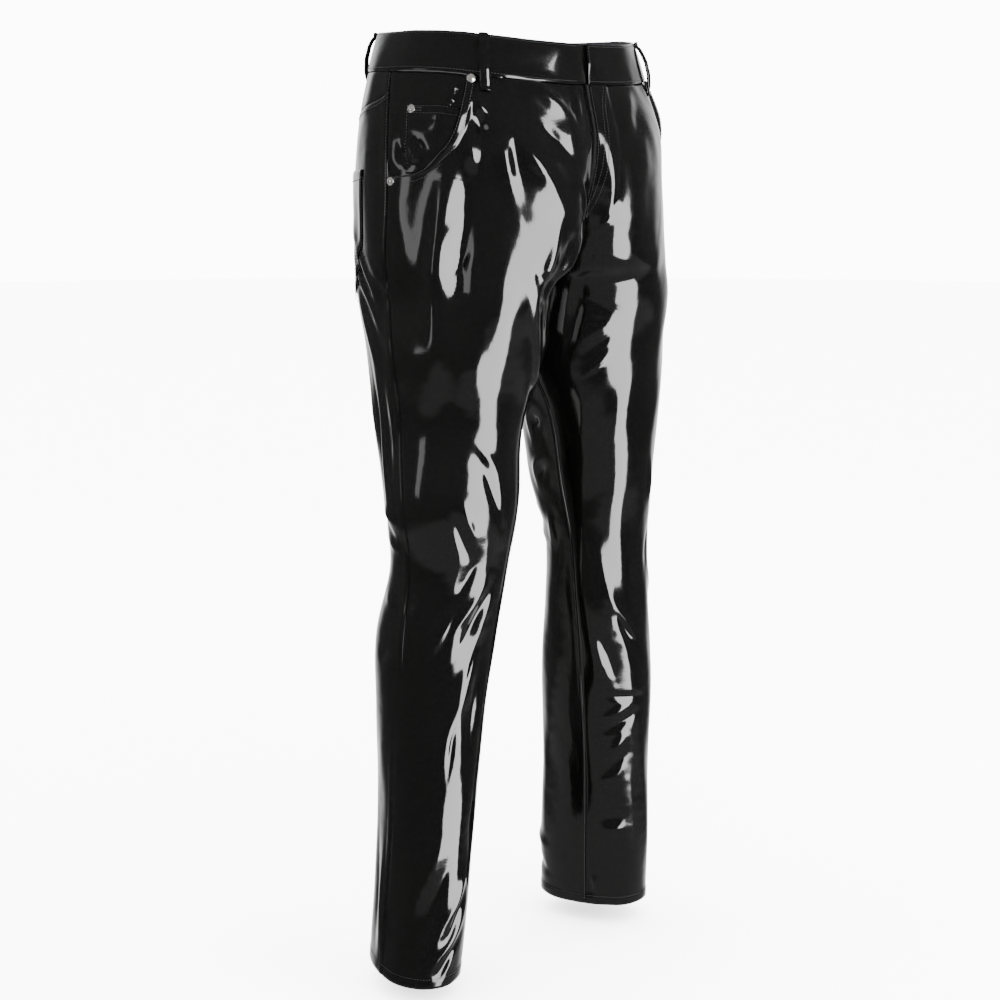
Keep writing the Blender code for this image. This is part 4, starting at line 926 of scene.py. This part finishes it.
def make_facing(side):
    """The cloth seen in a front pocket's opening. It sinks under the front's edge."""
    rows = even_rows(BAND_DEPTH, FACING_END)
    length = half_length(side, rows, False)
    start = side_seam(rows) + np.where(rows > 0.152, 0.002 / length, 0.0)
    end = opening_edge(np.minimum(rows, 0.150)) + FACING_UNDER / length
    depth, w = panel_grid(side, rows, start, end, False)
    from_seam = w - side_seam(rows)[:, None]
    sink = np.maximum(ease(from_seam, 0.020, 0.075), ease(depth, 0.138, 0.152))
    lift = seam_reliefs(side, depth, w, "front") - (UNDER + LAYER) * sink
    under = ease((w - opening_edge(rows)[:, None]) * length[:, None], -0.006, 0.001)
    points = cloth_points(side, depth, w, lift - 0.0006 * under)
    return cloth_piece(f"pocket_facing_{SIDES[side]}", side, depth, w, points)


def make_coin_pocket():
    rows = even_rows(COIN_TOP, COIN_END)
    start = COIN_OUTER + (rows - COIN_TOP) * COIN_SLANT
    end = opening_edge(rows) - 0.0006 / half_length(RIGHT, rows, False)
    depth, w = panel_grid(RIGHT, rows, start, end, False)
    rise = 0.0005 * ridge(depth - COIN_TOP, 0.0, 0.010, 0.0015, 0.004) - 0.0004
    points = cloth_points(RIGHT, depth, w, rise)
    return cloth_piece("coin_pocket", RIGHT, depth, w, points)


def pocket_edges():
    """Depths and w of the back pocket's outer and inner edges, down to its tip."""
    top_out, top_in, mid_in, low_in, tip, low_out, mid_out = BACK_POCKET
    return [(np.array([knot.depth for knot in edge]), np.array([knot.w for knot in edge]))
            for edge in ((top_out, mid_out, low_out, tip), (top_in, mid_in, low_in, tip))]


def make_back_pocket(side):
    """A patch laid over the back panel, its rows drawn between its two edges."""
    share = np.linspace(0.0, 1.0, 44)
    edges = []
    for knots, ws in pocket_edges():
        down = knots[0] + (knots[-1] - knots[0]) * share
        edges.append((down, np.interp(down, knots, ws)))
    (out_depth, out_w), (in_depth, in_w) = edges
    w = out_w[:, None] + (in_w - out_w)[:, None] * share[None]
    depth = out_depth[:, None] + (in_depth - out_depth)[:, None] * share[None]
    length = half_length(side, 0.22, True)
    from_sides = np.minimum(np.abs(w - out_w[:, None]), np.abs(w - in_w[:, None])) * length
    from_top = depth - (out_depth[0] + (in_depth[0] - out_depth[0]) * share[None])
    rim = ridge(np.minimum(from_sides, from_top), 0.0, 0.008, 0.002, 0.003)
    lift = UNDER + 0.0003 + 0.0004 * rim + seam_reliefs(side, depth, w, "plain")
    points = cloth_points(side, depth, w, lift)
    return cloth_piece(f"back_pocket_{SIDES[side]}", side, depth, w, points)


def make_loop(place):
    """A strip sewn down at both ends that stands off the waistband between them."""
    along = np.linspace(0.0, LOOP_LENGTH, 40)
    free = np.clip((along - LOOP_SEWN) / (LOOP_LENGTH - 2 * LOOP_SEWN), 0.0, 1.0)
    stand = (LOOP_CLOTH + LAYER + 0.0004 * free
             + (LOOP_STAND - LOOP_CLOTH) * np.sin(math.pi * free) ** 0.6)
    w_line = place.w_top + (place.w_low - place.w_top) * along / LOOP_LENGTH
    reach = LOOP_WIDTH / 2 / half_length(place.side, BAND_DEPTH / 2, place.w_top < 0)
    normal = outward(place.side, along, w_line)
    share = np.linspace(-1.0, 1.0, 9)
    crown = -LOOP_CROWN * np.abs(share) ** 2.5
    ruck = (LOOP_RUCK * np.sin(along * 420.0 + place.w_top * 40.0)
            * np.sin(math.pi * along / LOOP_LENGTH))
    points = np.stack([ring(place.side, along, w_line + reach * s)
                       + normal * (stand + c + ruck)[:, None] for s, c in zip(share, crown)], 1)
    depth = np.repeat(along[:, None], len(share), 1)
    w = w_line[:, None] + reach * share[None]
    return cloth_piece(f"belt_loop_{place.name}", place.side, depth, w, points, LOOP_CLOTH,
                       rim=0.0005, flat=(LOOP_WIDTH, LOOP_CUT))


def make_rivet(name, side, depth, w, lift):
    """Domed cap with a turned rim, spun about the cloth's normal."""
    d, v = np.array([depth]), np.array([w])
    place, normal = cloth_points(side, d, v, lift)[0], Vector(outward(side, d, v)[0])
    cap = bmesh.new()
    outline = [(0.0, 0.0026), (0.0016, 0.0025), (0.0029, 0.0020), (0.0036, 0.00145),
               (0.0040, 0.00125), (0.0045, 0.0012), (RIVET_RADIUS, 0.0009),
               (RIVET_RADIUS, 0.0003), (0.0044, 0.0), (0.0, 0.0)]
    verts = [cap.verts.new((r, 0.0, z)) for r, z in outline]
    edges = [cap.edges.new(pair) for pair in zip(verts, verts[1:])]
    bmesh.ops.spin(cap, geom=verts + edges, cent=(0, 0, 0), axis=(0, 0, 1), angle=math.tau,
                   steps=28, use_merge=True)
    bmesh.ops.remove_doubles(cap, verts=cap.verts, dist=1e-6)
    bmesh.ops.recalc_face_normals(cap, faces=cap.faces)
    turn = normal.to_track_quat("Z", "Y").to_matrix().to_4x4()
    bmesh.ops.transform(cap, matrix=Matrix.Translation(Vector(place)) @ turn, verts=cap.verts)
    mesh = bpy.data.meshes.new(name)
    cap.to_mesh(mesh)
    cap.free()
    return add_piece(name, mesh, NICKEL, [name])


def make_rivets():
    for side, word in SIDES.items():
        length = float(half_length(side, RIVET_DEPTH, False))
        top = float(opening_edge(RIVET_DEPTH)[0]) + (RIVET_RADIUS + 0.0003) / length
        lift = float(front_lift(side, np.array([RIVET_DEPTH]), np.array([top]))[0])
        make_rivet(f"rivet_pocket_top_{word}", side, RIVET_DEPTH, top, lift)
        low = float(side_seam(0.162)[0]) + (RIVET_RADIUS + 0.0005) / length
        make_rivet(f"rivet_pocket_low_{word}", side, 0.1625, low, 0.0004)
    make_rivet("rivet_coin_pocket", RIGHT, COIN_TOP + 0.0052, 0.135, 0.0003)


# ================================================================ stitches
def offset_path(side, depth, w, aside):
    """A line moved sideways across the flat cloth, to the right of its own direction."""
    span = half_length(side, depth, bool(w[len(w) // 2] < 0))
    x = w * span
    dx, dy = np.gradient(x), np.gradient(depth)
    run = np.hypot(dx, dy)
    return depth - aside * dx / run, (x + aside * dy / run) / span


def stitch_row(stitches, side, depth, w, lift, step=STITCH_STEP, size=(STITCH, THREAD)):
    """Adds even stitches along a line on the cloth."""
    points = cloth_points(side, depth, w, lift)
    normals = outward(side, depth, w)
    long, half_wide = size
    walked = np.concatenate([[0.0], np.cumsum(np.linalg.norm(np.diff(points, axis=0), axis=1))])
    count = int(walked[-1] / step)

    def at(place, table):
        return Vector([np.interp(place, walked, table[:, axis]) for axis in range(3)])

    for middle in (np.arange(count) + 0.5) * walked[-1] / max(count, 1):
        a, b = at(middle - step / 4, points), at(middle + step / 4, points)
        along = (b - a).normalized()
        beside = at(middle, normals).cross(along).normalized()
        up = along.cross(beside)
        axes = Matrix((along * long, beside * half_wide * 2, up * half_wide * 2))
        turn = axes.transposed().to_4x4()
        turn.translation = (a + b) / 2 + up * half_wide * 0.3
        stitches.append(turn)


def make_stitches(name, stitches):
    """One long bead for each stitch."""
    beads = bmesh.new()
    for turn in stitches:
        bmesh.ops.create_icosphere(beads, subdivisions=1, radius=0.5, matrix=turn)
    mesh = bpy.data.meshes.new(name)
    beads.to_mesh(mesh)
    beads.free()
    return add_piece(name, mesh, THREAD_BLACK, None)


def sew_hem(stitches, side, inner_w, lift):
    """One row round half of a leg's hem, from the side seam."""
    depth = np.full(80, OUTSEAM - HEM_TURN + 0.002)
    v = line(float(side_seam(depth[:1])[0]), inner_w, 80)
    stitch_row(stitches, side, depth, v, lift(side, depth, v))


def sew_front(side):
    """Two rows on the pocket's edge, the fly's rows and the hem."""
    rows, span = [], half_length(side, np.array([0.1]), False)[0]
    depth = line(BAND_DEPTH + 0.002, POCKET_END - 0.0025, 80)
    edge = opening_edge(depth)
    for inset in (EDGE_ROW, 0.0080):
        d, v = offset_path(side, depth, edge, inset)
        keep = (d < POCKET_END + 0.008) & (v > 0.045)
        stitch_row(rows, side, d[keep], v[keep], front_lift(side, d[keep], v[keep]))
    if side == LEFT:
        depth = line(BAND_DEPTH + 0.002, 0.199)
        for inset in (0.0, 0.0055):
            v = np.minimum(line_w(J_STITCH, depth) + inset / span, 0.994)
            stitch_row(rows, side, depth, v, front_lift(side, depth, v))
        depth = line(BAND_DEPTH + 0.002, CROTCH - 0.015)
        v = 1 - SEAM_ROW / half_length(side, depth, False)
        stitch_row(rows, side, depth, v, front_lift(side, depth, v))
    sew_hem(rows, side, 1 - 0.035, front_lift)
    make_stitches(f"front_{SIDES[side]}_stitches", rows)


def sew_back(side):
    """Rows under the yoke seam, beside the side seam and inseam, at the seat seam and the hem."""
    rows = []
    v = line(float(side_seam(0.072)[0]) - 0.004, -0.996, 90)
    for inset in (EDGE_ROW, SECOND_ROW):
        depth = yoke_line(v) + inset
        stitch_row(rows, side, depth, v, back_lift(side, depth, v))
    depth = line(BAND_DEPTH + 0.002, 0.200)
    v = side_seam(depth) - SEAM_ROW / half_length(side, depth, True)
    stitch_row(rows, side, depth, v, back_lift(side, depth, v))
    depth = line(0.300, OUTSEAM - 0.006, 200)
    v = -1 - line_w(INSEAM_SHIFT, depth) + SEAM_ROW / half_length(side, depth, True)
    stitch_row(rows, side, depth, v, back_lift(side, depth, v))
    if side == LEFT:
        depth = line(BAND_DEPTH + 0.002, CROTCH - 0.012)
        for inset in (SEAM_ROW, SECOND_ROW):
            v = -1 + inset / half_length(side, depth, True)
            stitch_row(rows, side, depth, v, back_lift(side, depth, v))
    sew_hem(rows, side, -0.999, back_lift)
    make_stitches(f"back_{SIDES[side]}_stitches", rows)


def sew_back_pocket(side):
    """Two rows round the pocket's sides and foot, one below its top edge."""
    rows, lift = [], UNDER + 0.0006
    outline = BACK_POCKET[1:] + BACK_POCKET[:1]
    pairs = list(zip(outline, outline[1:]))
    depth = np.concatenate([line(a.depth, b.depth, 12)[:-1] for a, b in pairs])
    v = np.concatenate([line(a.w, b.w, 12)[:-1] for a, b in pairs])
    for inset in (-SEAM_ROW, -0.0072):
        d, u = offset_path(side, depth, v, inset)
        stitch_row(rows, side, d, u, lift)
    share = line(0.03, 0.97)
    top_out, top_in = BACK_POCKET[:2]
    v = top_out.w + (top_in.w - top_out.w) * share
    depth = top_out.depth + (top_in.depth - top_out.depth) * share + 0.011
    stitch_row(rows, side, depth, v, lift)
    make_stitches(f"back_pocket_{SIDES[side]}_stitches", rows)


def sew_waistband():
    """A row along each edge of the waistband and one down its left end."""
    rows = []
    for side in SIDES:
        v = line(0.992 if side == LEFT else 0.93, -1.0, 300)
        for depth_here in (0.0028, BAND_DEPTH - 0.0032):
            depth = np.full_like(v, depth_here)
            lift = band_puff(side, depth, v) - 0.0003 - crease_height(side, depth, v)
            stitch_row(rows, side, depth, v, lift)
        if side == LEFT:
            depth = line(0.003, BAND_DEPTH - 0.003, 20)
            v = 1 - 0.0022 / half_length(side, depth, False)
            stitch_row(rows, side, depth, v, band_puff(side, depth, v))
    make_stitches("waistband_stitches", rows)


def sew_coin_pocket():
    """Two rows below the top edge, one down the outer edge and the bar tack."""
    rows = []
    for below in (EDGE_ROW, 0.0090):
        v = line(COIN_OUTER + 0.008, 0.335, 30)
        depth = np.full_like(v, COIN_TOP + below)
        keep = v < opening_edge(depth) - 0.004
        stitch_row(rows, RIGHT, depth[keep], v[keep], 0.0002)
    depth = line(COIN_TOP + 0.001, COIN_END - 0.010, 30)
    v = COIN_OUTER + (depth - COIN_TOP) * COIN_SLANT + 0.006
    stitch_row(rows, RIGHT, depth, v, 0.0)
    # the bar tack beside the rivet: close cross stitches
    for below in (0.0035, 0.0065):
        v = line(0.152, 0.182, 20)
        depth = np.full_like(v, COIN_TOP + below)
        stitch_row(rows, RIGHT, depth, v, 0.0004, step=0.0012, size=(0.0010, 0.0009))
    make_stitches("coin_pocket_stitches", rows)


# ================================================================ stage
# the camera, from the photograph's viewing angle
VIEW_AZIMUTH = 45.26     # degrees from the front towards the wearer's right
VIEW_DISTANCE = 2.30
VIEW_HEIGHT = -0.140
VIEW_PITCH = 9.77        # degrees down
VIEW_AIM = 0.46          # degrees to the left of the origin
LENS_MM = 71.06
FLOOR_Z = -1.092
WHITE = 12.0             # the studio's own brightness
ROOM_GLOW = 0.14         # what the pvc reflects of the room,
BACKDROP_GLOW = 1.9      # of the backdrop
FLOOR_GLOW = 0.42        # and of the floor
BACKDROP_EDGE = 0.55     # the backdrop's glow starts and is full where a ray's direction
BACKDROP_FULL = 0.97     # has these dot products with the view's
FLOOR_EDGE = -0.34       # the floor's glow starts and is full at these downward slants
FLOOR_FULL = -0.42


def make_camera():
    camera = bpy.data.cameras.new("view")
    camera.lens = LENS_MM
    camera.sensor_width = 36.0
    camera.clip_start = 0.05
    obj = bpy.data.objects.new("view", camera)
    bpy.context.scene.collection.objects.link(obj)
    turn = math.radians(VIEW_AZIMUTH)
    obj.location = (-VIEW_DISTANCE * math.sin(turn), -VIEW_DISTANCE * math.cos(turn),
                    VIEW_HEIGHT)
    obj.rotation_euler = (math.radians(90 - VIEW_PITCH), 0.0,
                          -math.radians(VIEW_AZIMUTH - VIEW_AIM))
    bpy.context.scene.camera = obj


def make_softbox(name, azimuth, distance, height, width, tall, radiance):
    """A rectangular soft light that faces the trousers."""
    light = bpy.data.lights.new(name, "AREA")
    light.shape = "RECTANGLE"
    light.size, light.size_y = width, tall
    light.energy = radiance * math.pi * width * tall
    obj = bpy.data.objects.new(name, light)
    bpy.context.scene.collection.objects.link(obj)
    turn = math.radians(azimuth)
    obj.location = (distance * math.sin(turn), -distance * math.cos(turn), height)
    toward = Vector((0, 0, -0.5)) - obj.location
    toward.z = 0.0
    obj.rotation_euler = toward.to_track_quat("-Z", "Y").to_euler()
    obj.visible_camera = False


def make_world():
    """A white studio. To the camera and the floor it is bright all over. The pvc reflects a
    dimmer room, with the lit backdrop behind the trousers and the lit floor in front."""
    world = bpy.data.worlds.new("studio")
    bpy.context.scene.world = world
    world.use_nodes = True
    tree = world.node_tree
    tree.nodes.clear()
    place = node(tree, "ShaderNodeTexCoord")
    turn = math.radians(VIEW_AZIMUTH)
    away = Vector((math.sin(turn), math.cos(turn), 0.0))
    behind = node(tree, "ShaderNodeVectorMath", [(place.outputs["Generated"], 0)],
                  operation="DOT_PRODUCT")
    behind.inputs[1].default_value = away
    backdrop = node(tree, "ShaderNodeMapRange", [(behind.outputs["Value"], "Value")],
                    interpolation_type="SMOOTHSTEP",
                    **{"From Min": BACKDROP_EDGE, "From Max": BACKDROP_FULL,
                       "To Min": 0.0, "To Max": BACKDROP_GLOW})
    height = node(tree, "ShaderNodeSeparateXYZ", [(place.outputs["Generated"], "Vector")])
    ground = node(tree, "ShaderNodeMapRange", [(height.outputs["Z"], "Value")],
                  interpolation_type="SMOOTHSTEP",
                  **{"From Min": FLOOR_EDGE, "From Max": FLOOR_FULL,
                     "To Min": ROOM_GLOW, "To Max": FLOOR_GLOW})
    both = node(tree, "ShaderNodeMath", [(backdrop.outputs["Result"], 0),
                                         (ground.outputs["Result"], 1)],
                operation="ADD")
    path = node(tree, "ShaderNodeLightPath")
    seen = node(tree, "ShaderNodeBackground", Color=(1, 1, 1, 1), Strength=WHITE)
    room = node(tree, "ShaderNodeBackground", [(both.outputs[0], "Strength")],
                Color=(1, 1, 1, 1))
    mix = node(tree, "ShaderNodeMixShader", [(path.outputs["Is Glossy Ray"], 0),
                                             (seen.outputs[0], 1), (room.outputs[0], 2)])
    node(tree, "ShaderNodeOutputWorld", [(mix.outputs[0], "Surface")])


def make_floor():
    """A plain pale floor under the hems."""
    material, _, shader = new_material("Matt white floor paint")
    shader.inputs["Base Color"].default_value = linear("#F8F8F8")
    shader.inputs["Roughness"].default_value = 0.9
    floor = bmesh.new()
    bmesh.ops.create_circle(floor, cap_ends=True, segments=96, radius=14.0,
                            matrix=Matrix.Translation((0, 0, FLOOR_Z)))
    mesh = bpy.data.meshes.new("floor")
    floor.to_mesh(mesh)
    floor.free()
    mesh.materials.append(material)
    obj = bpy.data.objects.new("floor", mesh)
    bpy.context.scene.collection.objects.link(obj)
    obj.visible_glossy = False


make_camera()
make_world()
make_floor()
make_softbox("key softbox", azimuth=9.0, distance=2.6, height=-0.81, width=1.75, tall=2.58,
             radiance=17.0)
make_softbox("fill softbox", azimuth=-104.0, distance=2.6, height=-0.10, width=0.55, tall=0.85,
             radiance=2.4)
for side in SIDES:
    make_front(side)
    make_back(side)
    make_yoke(side)
    make_facing(side)
    make_back_pocket(side)
make_waistband()
make_coin_pocket()
for place in LOOPS:
    make_loop(place)
make_rivets()
for side in SIDES:
    sew_front(side)
    sew_back(side)
    sew_back_pocket(side)
sew_waistband()
sew_coin_pocket()
